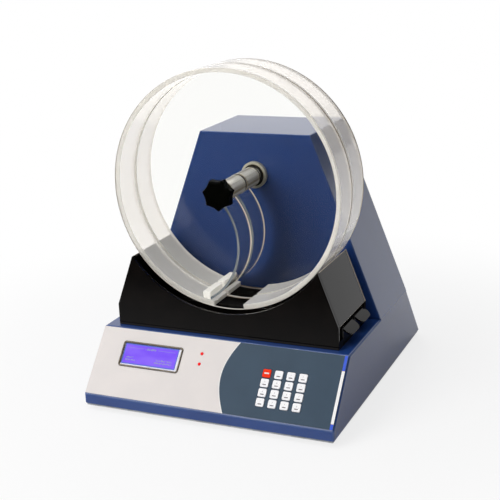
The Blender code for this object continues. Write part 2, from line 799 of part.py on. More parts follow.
def build_drum(name, setback):
    """One drum: lid, wall with its window, arm, back disc and hub."""
    drum = drum_frame(f"{name}_drum_frame", setback)
    hole = circle(HUB_RADIUS + FIT_GAP, ROUND_SEGMENTS)
    disc_loops = [circle(DRUM_RADIUS, DRUM_SEGMENTS), hole]
    chamber = CHAMBER_DEPTH - 2 * FIT_GAP
    chamber_middle = -DISC - CHAMBER_DEPTH / 2

    lid = plate(f"{name}_drum_lid", disc_loops, DISC)
    place(lid, CLEAR_ACRYLIC, drum, (0, 0, -DISC / 2))
    back = plate(f"{name}_drum_back", disc_loops, DISC)
    place(back, CLEAR_ACRYLIC, drum, (0, 0, -DISC - CHAMBER_DEPTH - DISC / 2))
    wall = plate(f"{name}_drum_wall", [drum_wall_outline()], chamber)
    place(wall, CLEAR_ACRYLIC, drum, (0, 0, chamber_middle))

    arm = plate(f"{name}_drum_arm", [arm_outline()], chamber)
    foot = box(
        f"{name}_arm_foot", (ARM_FOOT_WIDTH, 2 * ARM_FOOT_HEIGHT, chamber), collection=CUTTERS
    )
    foot.location = (
        *arm_foot_place(),
        chamber_middle,
    )
    foot.parent = drum
    boolean(arm, foot, "UNION")
    room = rod(
        f"{name}_arm_room", CHAMBER_RADIUS - FIT_GAP, CHAMBER_DEPTH, DRUM_SEGMENTS * 2, CUTTERS
    )
    room.location = (0, 0, chamber_middle)
    room.parent = drum
    boolean(arm, room, "INTERSECT")
    core = rod(
        f"{name}_arm_core", HUB_RADIUS + FIT_GAP, CHAMBER_DEPTH, ROUND_SEGMENTS, CUTTERS
    )
    core.location = (0, 0, chamber_middle)
    core.parent = drum
    boolean(arm, core)
    place(arm, CLEAR_ACRYLIC, drum, (0, 0, chamber_middle))

    length = 2 * DISC + CHAMBER_DEPTH
    waist = HUB_RADIUS - HUB_GROOVE
    first = -DISC - HUB_GROOVE_WIDTH
    last = -length + DISC + HUB_GROOVE_WIDTH
    profile = [
        (HUB_RADIUS, 0),
        (HUB_RADIUS, first),
        (waist, first),
        (waist, first - HUB_GROOVE_WIDTH),
        (HUB_RADIUS, first - HUB_GROOVE_WIDTH),
        (HUB_RADIUS, last + HUB_GROOVE_WIDTH),
        (waist, last + HUB_GROOVE_WIDTH),
        (waist, last),
        (HUB_RADIUS, last),
        (HUB_RADIUS, -length),
        (SHAFT_RADIUS + FIT_GAP, -length),
        (SHAFT_RADIUS + FIT_GAP, 0),
    ]
    hub = turned(f"{name}_drum_hub", profile, ROUND_SEGMENTS, True)
    place(hub, BRIGHT_STEEL, drum)


def knob_outline():
    """A star with pointed lobes and hollow flutes between them."""
    points = []
    steps = KNOB_LOBES * KNOB_LOBE_STEPS
    for step in range(steps):
        share = step % KNOB_LOBE_STEPS / KNOB_LOBE_STEPS
        depth = math.sin(math.pi * share)
        radius = KNOB_RADIUS - KNOB_FLUTE * depth
        angle = 2 * math.pi * step / steps + math.pi / 2
        points.append((radius * math.cos(angle), radius * math.sin(angle)))
    return points


def build_shaft_line():
    """Shaft, knob and counting disc."""
    shaft = drum_frame("shaft_frame", DRUM_SETBACK)
    stack = DRUM_BACK - DRUM_SETBACK
    shoulder_end = TOWER_SETBACK - FLANGE_DEPTH - FIT_GAP - DRUM_SETBACK - FIT_GAP
    stud_front = KNOB_COLLAR + KNOB_BORE_DEPTH - FIT_GAP
    shaft_back = BRACKET_BACK + GEARBOX_BORE - DRUM_SETBACK
    profile = [
        (0, stud_front),
        (STUD_RADIUS, stud_front),
        (STUD_RADIUS, 0),
        (SHAFT_RADIUS, 0),
        (SHAFT_RADIUS, -stack - FIT_GAP),
        (SHOULDER_RADIUS, -stack - FIT_GAP),
        (SHOULDER_RADIUS, -shoulder_end),
        (SHAFT_RADIUS, -shoulder_end),
        (SHAFT_RADIUS, -shaft_back),
        (0, -shaft_back),
    ]
    place(turned("drum_shaft", profile), BRIGHT_STEEL, shaft)

    knob = plate("star_knob", [knob_outline()], KNOB_THICKNESS)
    knob_middle = FIT_GAP + KNOB_COLLAR + KNOB_THICKNESS / 2
    bevel(knob, KNOB_EDGE, 2, math.radians(60))
    collar = rod("knob_collar", KNOB_COLLAR_RADIUS, 2 * KNOB_COLLAR, collection=CUTTERS)
    collar.location = (0, 0, FIT_GAP + KNOB_COLLAR)
    collar.parent = shaft
    boolean(knob, collar, "UNION")
    bore = rod(
        "knob_bore", STUD_RADIUS + FIT_GAP, 2 * (KNOB_COLLAR + KNOB_BORE_DEPTH), collection=CUTTERS
    )
    bore.parent = shaft
    boolean(knob, bore)
    place(knob, BLACK_PLASTIC, shaft, (0, 0, knob_middle))

    counting_setback = TOWER_SETBACK + HOUSING_LENGTH + COUNT_CLEARANCE + COUNT_HUB / 2
    middle = counting_setback - DRUM_SETBACK
    profile = [
        (COUNT_HUB_RADIUS, COUNT_HUB / 2),
        (COUNT_HUB_RADIUS, COUNT_DISC / 2),
        (COUNT_DISC_RADIUS, COUNT_DISC / 2),
        (COUNT_DISC_RADIUS, -COUNT_DISC / 2),
        (COUNT_HUB_RADIUS, -COUNT_DISC / 2),
        (COUNT_HUB_RADIUS, -COUNT_HUB / 2),
        (SHAFT_RADIUS + FIT_GAP, -COUNT_HUB / 2),
        (SHAFT_RADIUS + FIT_GAP, COUNT_HUB / 2),
    ]
    counting = turned("counting_disc", profile, ROUND_SEGMENTS, True)
    radius = COUNT_DISC_RADIUS - COUNT_SLOT_EDGE - COUNT_SLOT_LENGTH / 2
    for index in range(COUNT_SLOTS):
        angle = 2 * math.pi * (index + 0.5) / COUNT_SLOTS
        slot = cutter_box(
            f"counting_slot_{index}",
            (COUNT_SLOT_LENGTH, COUNT_SLOT_WIDTH, COUNT_HUB),
            (radius * math.cos(angle), radius * math.sin(angle), -middle),
            shaft,
        )
        slot.rotation_euler = (0, 0, angle)
        boolean(counting, slot)
    place(counting, BLACK_PLASTIC, shaft, (0, 0, -middle))
    return counting_setback


def build_bearings():
    """Flange on the tower, seal, and the bearing in its housing through the tower's front."""
    nose = drum_frame("bearing_frame", TOWER_SETBACK)
    proud = FLANGE_DEPTH + FIT_GAP
    hub_clearance = SHAFT_RADIUS + 2 * FIT_GAP
    profile = [
        (FLANGE_RADIUS, proud),
        (FLANGE_RADIUS, FIT_GAP),
        (hub_clearance, FIT_GAP),
        (hub_clearance, proud - SEAL_DEPTH),
        (SEAL_RADIUS + FIT_GAP, proud - SEAL_DEPTH),
        (SEAL_RADIUS + FIT_GAP, proud),
    ]
    flange = turned("bearing_flange", profile, 40, True)
    place(flange, NICKEL, nose)
    seal = ring(
        "shaft_seal", SEAL_RADIUS, SHAFT_RADIUS + FIT_GAP, SEAL_DEPTH - 2 * FIT_GAP
    )
    place(seal, BLACK_RUBBER, nose, (0, 0, proud - FIT_GAP))

    seat = BEARING_RADIUS + FIT_GAP
    flange_back = BRACKET_SETBACK - FIT_GAP
    profile = [
        (HOUSING_RADIUS, 0),
        (HOUSING_RADIUS, HOUSING_FLANGE - flange_back),
        (HOUSING_FLANGE_RADIUS, HOUSING_FLANGE - flange_back),
        (HOUSING_FLANGE_RADIUS, -flange_back),
        (HOUSING_RADIUS, -flange_back),
        (HOUSING_RADIUS, -HOUSING_LENGTH),
        (seat, -HOUSING_LENGTH),
        (seat, 0),
    ]
    place(turned("bearing_housing", profile, ROUND_SEGMENTS, True), NICKEL, nose)

    bearing = ring("shaft_bearing", BEARING_RADIUS, SHAFT_RADIUS + FIT_GAP, BEARING_LENGTH)
    place(bearing, BRIGHT_STEEL, nose, (0, 0, (BEARING_LENGTH - HOUSING_LENGTH) / 2))


def build_bracket(counting_setback):
    """Upright bracket on the deck, with the gearbox and motor behind it, and the fork sensor."""
    low = DECK + FIT_GAP
    high = AXIS_Z + BRACKET_RISE
    front, back = from_front(BRACKET_FRONT), from_front(BRACKET_BACK)
    outline = [
        (front, low),
        (back, low),
        (back, high),
        (back - BRACKET_SHEET, high),
        (back - BRACKET_SHEET, low + BRACKET_SHEET),
        (front + BRACKET_SHEET, low + BRACKET_SHEET),
        (front + BRACKET_SHEET, high),
        (front, high),
    ]
    bracket = plate("support_bracket", [outline], BRACKET_WIDTH)
    reach = BRACKET_SHEET + 2 * CUT_OVERRUN
    bore = rod("bracket_bore", HOUSING_RADIUS + FIT_GAP, reach, collection=CUTTERS)
    bore.location = (0, front + BRACKET_SHEET / 2, AXIS_Z)
    bore.rotation_euler = FRONT_VIEW
    boolean(bracket, bore)
    exit_hole = rod("shaft_hole", SHAFT_RADIUS + CUT_OVERRUN, reach, collection=CUTTERS)
    exit_hole.location = (0, back - BRACKET_SHEET / 2, AXIS_Z)
    exit_hole.rotation_euler = FRONT_VIEW
    boolean(bracket, exit_hole)
    place(bracket, ZINC, rotation=SIDE_VIEW)

    drive = drum_frame("drive_frame", BRACKET_BACK + FIT_GAP)
    gearbox = box("gear_motor", (GEARBOX_SIDE, GEARBOX_SIDE, GEARBOX_LENGTH))
    bevel(gearbox, GEARBOX_EDGE)
    motor = rod("motor_can", MOTOR_RADIUS, 2 * MOTOR_LENGTH, collection=CUTTERS)
    motor.location = (0, 0, -GEARBOX_LENGTH)
    motor.parent = drive
    boolean(gearbox, motor, "UNION")
    bore_depth = GEARBOX_BORE + FIT_GAP
    bore = rod("gearbox_bore", SHAFT_RADIUS + FIT_GAP, 2 * bore_depth, collection=CUTTERS)
    bore.parent = drive
    boolean(gearbox, bore)
    place(gearbox, ZINC, drive, (0, 0, -GEARBOX_LENGTH / 2))

    sensor_front = BRACKET_FRONT + BRACKET_SHEET + FIT_GAP
    sensor_back = counting_setback + SENSOR_SLOT
    length = sensor_back - sensor_front
    sensor = box("fork_sensor", (SENSOR_WIDTH, length, SENSOR_HEIGHT))
    slot_depth = SENSOR_HEIGHT / 2
    z = AXIS_Z - COUNT_DISC_RADIUS + slot_depth - FIT_GAP - SENSOR_HEIGHT / 2
    slot = cutter_box(
        "sensor_slot",
        (SENSOR_WIDTH + 2 * CUT_OVERRUN, SENSOR_SLOT, SENSOR_HEIGHT),
        (0, from_front(counting_setback), z + SENSOR_HEIGHT / 2),
    )
    boolean(sensor, slot)
    place(sensor, BLACK_PLASTIC, location=(0, from_front((sensor_front + sensor_back) / 2), z))


def chute_half_width(rise):
    """Half the chute's width at a height above the deck, on its sloping sides."""
    share = (rise - CHUTE_KNEE) / (CHUTE_RISE - CHUTE_KNEE)
    return CHUTE_HALF_WIDTH + (CHUTE_TOP_HALF_WIDTH - CHUTE_HALF_WIDTH) * share


def chute_panel_outline():
    """A panel with upright feet, sloping sides and a round cut-out clear of the drums."""
    drop = AXIS_HEIGHT - DECK_HEIGHT - CHUTE_RISE
    half_angle = math.acos(drop / CUTOUT_RADIUS)
    start = -math.pi / 2 - half_angle
    cutout = arc(CUTOUT_RADIUS, start, start + 2 * half_angle, CUTOUT_STEPS)
    foot = DECK + FIT_GAP - AXIS_Z
    knee = DECK + CHUTE_KNEE - AXIS_Z
    top = DECK + CHUTE_RISE - AXIS_Z
    right = [
        (CHUTE_TOP_HALF_WIDTH, top),
        (CHUTE_HALF_WIDTH, knee),
        (CHUTE_HALF_WIDTH, foot),
    ]
    left = [(-x, z) for x, z in reversed(right)]
    return cutout + right + left


def build_chute():
    """Front and rear panels, side plates and the trays' guide."""
    outline = chute_panel_outline()
    for name, setback in (("front", CHUTE_SETBACK), ("rear", CHUTE_SETBACK + CHUTE_DEPTH - PANEL)):
        panel_frame = drum_frame(f"{name}_panel_frame", setback)
        panel = plate(f"chute_{name}_panel", [outline], PANEL)
        place(panel, BLACK_ACRYLIC, panel_frame, (0, 0, -PANEL / 2))

    length = CHUTE_DEPTH - 2 * (PANEL + FIT_GAP)
    middle = CHUTE_SETBACK + CHUTE_DEPTH / 2
    sides = drum_frame("side_plate_frame", middle)
    rise = DECK + CHUTE_RISE - AXIS_Z
    knee = DECK + CHUTE_KNEE - AXIS_Z
    foot = DECK + FIT_GAP - AXIS_Z
    across = SIDE_PLATE / math.sin(math.atan2(
        CHUTE_RISE - CHUTE_KNEE, CHUTE_HALF_WIDTH - CHUTE_TOP_HALF_WIDTH
    ))
    right = [
        (CHUTE_HALF_WIDTH, knee),
        (CHUTE_TOP_HALF_WIDTH, rise),
        (CHUTE_TOP_HALF_WIDTH - across, rise),
        (CHUTE_HALF_WIDTH - across, knee),
    ]
    left = [
        (-CHUTE_HALF_WIDTH, foot),
        (-CHUTE_HALF_WIDTH + SIDE_PLATE, foot),
        (-CHUTE_HALF_WIDTH + across, knee),
        (-CHUTE_TOP_HALF_WIDTH + across, rise),
        (-CHUTE_TOP_HALF_WIDTH, rise),
        (-CHUTE_HALF_WIDTH, knee),
    ]
    swing = rod(
        "drum_swing", CUTOUT_RADIUS, CHUTE_DEPTH, 2 * DRUM_SEGMENTS, CUTTERS
    )
    swing.parent = sides
    for name, outline in (("left", left), ("right", right)):
        side = plate(f"chute_{name}_plate", [outline], length)
        boolean(side, swing)
        place(side, BLACK_ACRYLIC, sides)

    inner_front = from_front(CHUTE_SETBACK + PANEL) + FIT_GAP
    inner_back = from_front(CHUTE_SETBACK + CHUTE_DEPTH - PANEL) - FIT_GAP
    low = DECK + FIT_GAP
    floor = low + GUIDE_FLOOR
    rib = floor + GUIDE_RIB_HEIGHT
    edges = []
    for centre in tray_centres():
        edges.append(from_front(centre - TRAY_WIDTH / 2) - TRAY_PLAY)
        edges.append(from_front(centre + TRAY_WIDTH / 2) + TRAY_PLAY)
    outline = [(inner_front, low), (inner_back, low), (inner_back, rib), (edges[3], rib)]
    outline += [(edges[3], floor), (edges[2], floor), (edges[2], rib), (edges[1], rib)]
    outline += [(edges[1], floor), (edges[0], floor), (edges[0], rib), (inner_front, rib)]
    inside = CHUTE_HALF_WIDTH - SIDE_PLATE - FIT_GAP
    guide = plate("tray_guide", [outline], inside + CHUTE_HALF_WIDTH)
    shift = (CHUTE_HALF_WIDTH - inside) / 2
    place(guide, BLACK_ACRYLIC, location=(shift, 0, 0), rotation=SIDE_VIEW)


def tray_centres():
    """Setback of the middle of each tray, under the middle of its drum."""
    first = DRUM_SETBACK + DISC + CHAMBER_DEPTH / 2
    return first, first + DRUM_PITCH


def build_trays():
    """Two open trays, each with a rounded tab that slopes out and down at the right."""
    for name, setback in zip(DRUM_NAMES, tray_centres()):
        floor = DECK + 2 * FIT_GAP + GUIDE_FLOOR
        right = CHUTE_HALF_WIDTH - FIT_GAP
        tray_frame = frame(
            f"{name}_tray_frame", (right - TRAY_LENGTH / 2, from_front(setback), floor), (0, 0, 0)
        )
        tray = box(
            f"{name}_tray", (TRAY_LENGTH, TRAY_WIDTH, TRAY_HEIGHT), (0, 0, TRAY_HEIGHT / 2)
        )
        bm = bmesh.new()
        bm.from_mesh(tray.data)
        bm.normal_update()
        top = [face for face in bm.faces if face.normal.z > math.cos(math.radians(5))]
        bmesh.ops.delete(bm, geom=top, context="FACES")
        bm.to_mesh(tray.data)
        bm.free()
        shell(tray, TRAY_WALL)
        outline = [(-TRAY_WIDTH / 2, 0), (-TRAY_WIDTH / 2, TAB_LENGTH - TAB_CORNER)]
        first = arc(
            TAB_CORNER, math.pi, math.pi / 2, 2 * CORNER_STEPS,
            (-TRAY_WIDTH / 2 + TAB_CORNER, TAB_LENGTH - TAB_CORNER),
        )
        second = arc(
            TAB_CORNER, math.pi / 2, 0, 2 * CORNER_STEPS,
            (TRAY_WIDTH / 2 - TAB_CORNER, TAB_LENGTH - TAB_CORNER),
        )
        outline += first[1:] + second[:-1]
        outline += [(TRAY_WIDTH / 2, TAB_LENGTH - TAB_CORNER), (TRAY_WIDTH / 2, 0)]
        tab = plate(f"{name}_tab", [outline], TAB_THICKNESS, CUTTERS)
        tab.parent = tray_frame
        tab.rotation_euler = (-TAB_ANGLE, 0, -math.pi / 2)
        tab.location = (
            TRAY_LENGTH / 2 - TAB_THICKNESS / 2 * math.sin(TAB_ANGLE),
            0,
            TRAY_HEIGHT - TAB_THICKNESS / 2 * math.cos(TAB_ANGLE),
        )
        boolean(tray, tab, "UNION")
        place(tray, BLACK_ACRYLIC, tray_frame)


def build_electrics():
    """Main board on the base plate, with its spacers, its supply block and a chip."""
    top = PLATE_TOP + FIT_GAP
    size = (MAIN_BOARD_WIDTH, MAIN_BOARD_DEPTH, BOARD)
    centre = (MAIN_BOARD_X, from_front(MAIN_BOARD_SETBACK), top)
    board = box("main_board", size, (0, 0, MAIN_STANDOFF + BOARD / 2))
    for sx in (-1, 1):
        for sy in (-1, 1):
            post = rod("board_spacer", STANDOFF_RADIUS, MAIN_STANDOFF + BOARD / 2, 10, CUTTERS)
            post.location = (
                centre[0] + sx * (MAIN_BOARD_WIDTH / 2 - 2 * STANDOFF_RADIUS),
                centre[1] + sy * (MAIN_BOARD_DEPTH / 2 - 2 * STANDOFF_RADIUS),
                top + (MAIN_STANDOFF + BOARD / 2) / 2,
            )
            boolean(board, post, "UNION")
    seat = top + MAIN_STANDOFF + BOARD / 2
    for name, shift_x, shift_y, block_size in BOARD_BLOCKS:
        height = block_size[2]
        block = box(name, block_size, collection=CUTTERS)
        block.location = (centre[0] + shift_x, centre[1] + shift_y, seat + height / 2)
        boolean(board, block, "UNION")
    place(board, BOARD_GREEN, location=centre)


def build_inlet():
    """Mains inlet with its pins and fuse drawer, and the rocker switch above the socket."""
    surface = from_front(TOWER_BACK) + 2 * FIT_GAP + SHEET
    back = frame("inlet_frame", (INLET_X, surface, DECK + INLET_RISE), (-math.radians(90), 0, 0))
    face = plate(
        "power_inlet",
        [rounded(INLET_FACE_WIDTH, INLET_FACE_HEIGHT, INLET_BODY_MARGIN)],
        INLET_FACE,
    )
    body = cutter_box(
        "inlet_body",
        (
            INLET_FACE_WIDTH - 2 * INLET_BODY_MARGIN,
            INLET_FACE_HEIGHT - 2 * INLET_BODY_MARGIN,
            INLET_BODY_DEPTH + INLET_FACE / 2,
        ),
        (0, 0, (INLET_FACE / 2 - INLET_BODY_DEPTH) / 2),
        back,
    )
    boolean(face, body, "UNION")
    socket = cutter_box(
        "socket_cavity",
        (SOCKET_WIDTH, SOCKET_HEIGHT, 2 * SOCKET_DEPTH),
        (0, SOCKET_DROP, INLET_FACE),
        back,
    )
    boolean(face, socket)
    pocket = cutter_box(
        "rocker_pocket",
        (
            ROCKER_WIDTH + 2 * ROCKER_PLAY,
            ROCKER_HEIGHT + 2 * ROCKER_PLAY,
            2 * ROCKER_POCKET_DEPTH,
        ),
        (0, -ROCKER_RISE, INLET_FACE),
        back,
    )
    boolean(face, pocket)
    for across, up in ((-1, -1), (0, 1), (1, -1)):
        pin = cutter_box(
            "inlet_pin",
            (PIN_WIDTH, PIN_HEIGHT, PIN_LENGTH + CUT_OVERRUN),
            (
                across * PIN_SPREAD,
                SOCKET_DROP + up * PIN_OFFSET,
                INLET_FACE - SOCKET_DEPTH + (PIN_LENGTH - CUT_OVERRUN) / 2,
            ),
            back,
        )
        boolean(face, pin, "UNION")
    place(face, BLACK_PLASTIC, back, (0, 0, INLET_FACE / 2))

    pivot = INLET_FACE + ROCKER_PROUD - ROCKER_DEPTH
    rocker_frame = frame(
        "rocker_frame",
        (INLET_X, surface + pivot, DECK + INLET_RISE + ROCKER_RISE),
        (-math.radians(90) + ROCKER_TILT, 0, 0),
    )
    rocker = box(
        "power_rocker", (ROCKER_WIDTH, ROCKER_HEIGHT, ROCKER_DEPTH), (0, 0, ROCKER_DEPTH / 2)
    )
    bevel(rocker, ROCKER_EDGE)
    place(rocker, BLACK_PLASTIC, rocker_frame)


CONSOLE = frame(
    "console_frame", (0, from_front(0), CASE_BOTTOM + LIP_HEIGHT), (CONSOLE_ANGLE, 0, 0)
)
build_base()
build_lower_case()
build_tower()
build_console()
for drum_index, drum_name in enumerate(DRUM_NAMES):
    build_drum(drum_name, DRUM_SETBACK + drum_index * DRUM_PITCH)
build_bracket(build_shaft_line())
build_bearings()
build_chute()
build_trays()
build_electrics()
build_inlet()
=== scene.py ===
"""The looks of a tablet friability tester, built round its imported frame.

Two clear drums turn on one shaft in front of a painted tower, above a black chute with two trays.
Metres, +Z up. X runs to the viewer's right and Y to the back, as in the frame.
"""

import functools
import logging
import math
import operator
from collections.abc import Callable, Iterator, Mapping, Sequence
from dataclasses import dataclass, field
from enum import Enum, IntEnum, StrEnum
from typing import Union

import bmesh
import bpy
from mathutils import Matrix, Vector
from mathutils.geometry import delaunay_2d_cdt


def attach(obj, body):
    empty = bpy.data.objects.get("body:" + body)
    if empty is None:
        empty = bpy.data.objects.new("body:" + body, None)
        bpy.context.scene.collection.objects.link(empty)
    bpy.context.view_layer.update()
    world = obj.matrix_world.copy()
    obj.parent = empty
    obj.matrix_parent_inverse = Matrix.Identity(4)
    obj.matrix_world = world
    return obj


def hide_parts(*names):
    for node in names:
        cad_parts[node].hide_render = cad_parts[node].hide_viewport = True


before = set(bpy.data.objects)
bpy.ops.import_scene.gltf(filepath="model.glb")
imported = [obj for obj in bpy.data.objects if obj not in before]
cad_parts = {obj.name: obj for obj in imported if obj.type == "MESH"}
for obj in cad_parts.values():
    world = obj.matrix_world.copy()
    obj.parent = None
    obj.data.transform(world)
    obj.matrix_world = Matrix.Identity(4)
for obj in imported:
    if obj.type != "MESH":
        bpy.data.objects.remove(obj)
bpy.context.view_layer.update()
LOG = logging.getLogger("friability_tester")

Point = tuple[float, float]
Loop = list[Point]
Profile = tuple[Point, ...]
Colour = tuple[float, float, float]
Patch = tuple[float, float, float, float]
Level = Union["Wire", float, Sequence[float]]

MM = 0.001
GAP = 0.0003  # between parts that rest on or run in each other, as in the CAD
HAIR = 0.00005  # keeps the faces of two pieces apart where the real ones are bonded
OVERRUN = 0.002  # how far a cutter passes through a sheet
OVERREACH = 0.010  # how far a cutter passes through a drum or the tower's front
CASE_WIDTH = 0.334
CASE_DEPTH = 0.378
SHEET = 0.0015
FOLD_STEPS = 5
DECK_Z = 0.0911
AXIS_Z = 0.2731
TOWER_BACK_Y = 0.119
SHAFT_SETBACK = 0.085
REAR_DRUM_SETBACK = 0.1293
REAR_TRAY_SETBACK = 0.1513
FRONT = Matrix.Rotation(math.radians(90), 4, "X")
BACK = Matrix.Rotation(math.radians(-90), 4, "X")
SIDE = Matrix.Rotation(math.radians(90), 4, "Z") @ FRONT


class Body(StrEnum):
    """The frame's bodies, apart from the keys and trays, which go by their own names."""

    ROOT = "root"
    DRUMS = "drums"
    KNOB = "knob"
    ROCKER = "rocker"


class Cut(Enum):
    """What a Boolean leaves of a piece and its tools."""

    AWAY = "DIFFERENCE"
    WITHIN = "INTERSECT"
    TOGETHER = "UNION"


class Ink(IntEnum):
    """The faceplate's inks, by material slot."""

    WARM = 0
    SLATE = 1
    LINE = 2
    STRIP = 3
    BLUE = 4
    PEACH = 5
    SHADOW = 6


# ---------------------------------------------------------------- shader work


class Wire:
    """The output of a shader node, ready for Python arithmetic."""

    def __init__(self, bench: "Bench", socket: bpy.types.NodeSocket) -> None:
        """Keep an output socket and the bench that its node stands on."""
        self.bench = bench
        self.socket = socket

    def beside(self, output: str) -> "Wire":
        """Another output of the same node."""
        return Wire(self.bench, self.socket.node.outputs[output])

    def _math(self, operation: str, first: Level, second: Level) -> "Wire":
        """Put a Math node on two levels."""
        return self.bench.node("ShaderNodeMath", {"operation": operation}, {0: first, 1: second})

    def __add__(self, other: Level) -> "Wire":
        """The sum."""
        return self._math("ADD", self, other)

    def __radd__(self, other: Level) -> "Wire":
        """The sum, from the right."""
        return self._math("ADD", other, self)

    def __sub__(self, other: Level) -> "Wire":
        """The difference."""
        return self._math("SUBTRACT", self, other)

    def __rsub__(self, other: Level) -> "Wire":
        """The difference, from the right."""
        return self._math("SUBTRACT", other, self)

    def __mul__(self, other: Level) -> "Wire":
        """The product."""
        return self._math("MULTIPLY", self, other)

    def __rmul__(self, other: Level) -> "Wire":
        """The product, from the right."""
        return self._math("MULTIPLY", other, self)

    def __gt__(self, other: Level) -> "Wire":
        """1 where this is more than the other, and 0 elsewhere."""
        return self._math("GREATER_THAN", self, other)

    def __lt__(self, other: Level) -> "Wire":
        """1 where this is less than the other, and 0 elsewhere."""
        return self._math("LESS_THAN", self, other)

    def __or__(self, other: Level) -> "Wire":
        """The larger of the two."""
        return self._math("MAXIMUM", self, other)


class Bench:
    """A node tree on which a finish is mixed."""

    def __init__(self, tree: bpy.types.NodeTree) -> None:
        """Take the tree of a material or of the world, and clear it."""
        self.tree = tree
        tree.nodes.clear()

    def feed(self, target: bpy.types.NodeSocket, value: Level) -> None:
        """Link a wire to an input, or write a number or a colour to it.

        Args:
            target: The input socket.
            value: What it gets.
        """
        if isinstance(value, Wire):
            self.tree.links.new(value.socket, target)
        elif target.type == "RGBA" and len(value) == 3:
            target.default_value = (*value, 1.0)
        else:
            target.default_value = value

    def node(
        self,
        kind: str,
        settings: Mapping[str, object] | None = None,
        sockets: Mapping[str | int, Level] | None = None,
        output: str | int = 0,
    ) -> Wire | None:
        """Add a node: its settings come first, and then its inputs.

        Args:
            kind: The node's type.
            settings: Its settings by name.
            sockets: Values or wires for its inputs, by name or number.
            output: The output to give back.

        Returns:
            The wire of that output, or None for a node that ends the tree.
        """
        made = self.tree.nodes.new(kind)
        for name, value in (settings or {}).items():
            setattr(made, name, value)
        for name, value in (sockets or {}).items():
            self.feed(made.inputs[name], value)
        return Wire(self, made.outputs[output]) if made.outputs else None

    def place(self, stretch: Sequence[float] = (1.0, 1.0, 1.0)) -> Wire:
        """The place on the piece in its own metres, stretched along each axis.

        Args:
            stretch: The factor along X, Y and Z.

        Returns:
            A vector.
        """
        spot = self.node("ShaderNodeTexCoord", output="Object")
        if tuple(stretch) == (1.0, 1.0, 1.0):
            return spot
        return self.node("ShaderNodeVectorMath", {"operation": "MULTIPLY"}, {0: spot, 1: stretch})

    def axes(self, spot: Wire) -> tuple[Wire, Wire, Wire]:
        """The X, Y and Z of a vector."""
        first = self.node("ShaderNodeSeparateXYZ", None, {0: spot})
        return first, first.beside("Y"), first.beside("Z")

    def noise(self, spot: Wire, scale: float, detail: float = 2.0, rough: float = 0.5) -> Wire:
        """Soft noise between 0 and 1, with a scale in waves to the metre."""
        sockets = {"Vector": spot, "Scale": scale, "Detail": detail, "Roughness": rough}
        return self.node("ShaderNodeTexNoise", None, sockets)

    def step(self, value: Wire, low: float = 0.3, high: float = 0.7) -> Wire:
        """A smooth step from 0 at one level of a wire to 1 at another."""
        sockets = {"Value": value, "From Min": low, "From Max": high}
        return self.node("ShaderNodeMapRange", {"interpolation_type": "SMOOTHSTEP"}, sockets)

    def mix(self, share: Level, first: Level, second: Level) -> Wire:
        """Mix two colours, with the share of the second."""
        colours = {0: share, 6: first, 7: second}
        return self.node("ShaderNodeMix", {"data_type": "RGBA"}, colours, 2)

    def bump(self, height: Wire, strength: float, depth: float) -> Wire:
        """A normal from a height between 0 and 1, whose depth is in metres."""
        sockets = {"Strength": strength, "Distance": depth, "Height": height}
        return self.node("ShaderNodeBump", None, sockets)


def grey(level: float) -> Colour:
    """A grey, from 0 for black to 1 for white."""
    return (level, level, level)


@dataclass(frozen=True)
class Finish:
    """A named finish. Each kind of finish says what its shader's sockets get."""

    name: str
    colour: Colour

    def lay(self, bench: Bench) -> dict[str, Level]:
        """What the shader's sockets get, by name."""
        raise NotImplementedError

    def top(self, bench: Bench, shader: Wire) -> Wire:
        """The shader as it goes to the output, with nothing over it."""
        return shader

    def material(self) -> bpy.types.Material:
        """The finish as a material, made once.

        Returns:
            The material.
        """
        known = bpy.data.materials.get(self.name)
        if known:
            return known
        made = bpy.data.materials.new(self.name)
        made.use_nodes = True
        made.diffuse_color = (*self.colour, 1.0)
        bench = Bench(made.node_tree)
        shader = bench.node("ShaderNodeBsdfPrincipled", None, self.lay(bench))
        bench.node("ShaderNodeOutputMaterial", None, {"Surface": self.top(bench, shader)})
        return made


@dataclass(frozen=True)
class Paint(Finish):
    """Glossy paint on sheet steel: soft clouds of tone and a fine orange peel."""

    shade: Colour
    rough: float = 0.16
    peel: float = 0.05

    def lay(self, bench: Bench) -> dict[str, Level]:
        """Two tones of the paint, uneven gloss and the peel.

        Args:
            bench: The bench to mix on.

        Returns:
            Wires and plain values by socket.
        """
        spot = bench.place()
        tone = bench.noise(spot, scale=9.0, detail=3.0, rough=0.55)
        speck = bench.noise(spot, scale=900.0)
        blend = bench.step(tone + 0.12 * (speck - 0.5))
        smear = bench.noise(bench.place((1.0, 1.0, 0.35)), scale=30.0, detail=3.0)
        peel = bench.noise(spot, scale=520.0, detail=1.0)
        return {
            "Base Color": bench.mix(blend, self.colour, self.shade),
            "Roughness": self.rough + 0.10 * (smear - 0.5) + 0.03 * (speck - 0.5),
            "IOR": 1.5,
            "Coat Weight": 0.22,
            "Coat Roughness": 0.04,
            "Normal": bench.bump(peel, self.peel, 0.3 * MM),
        }


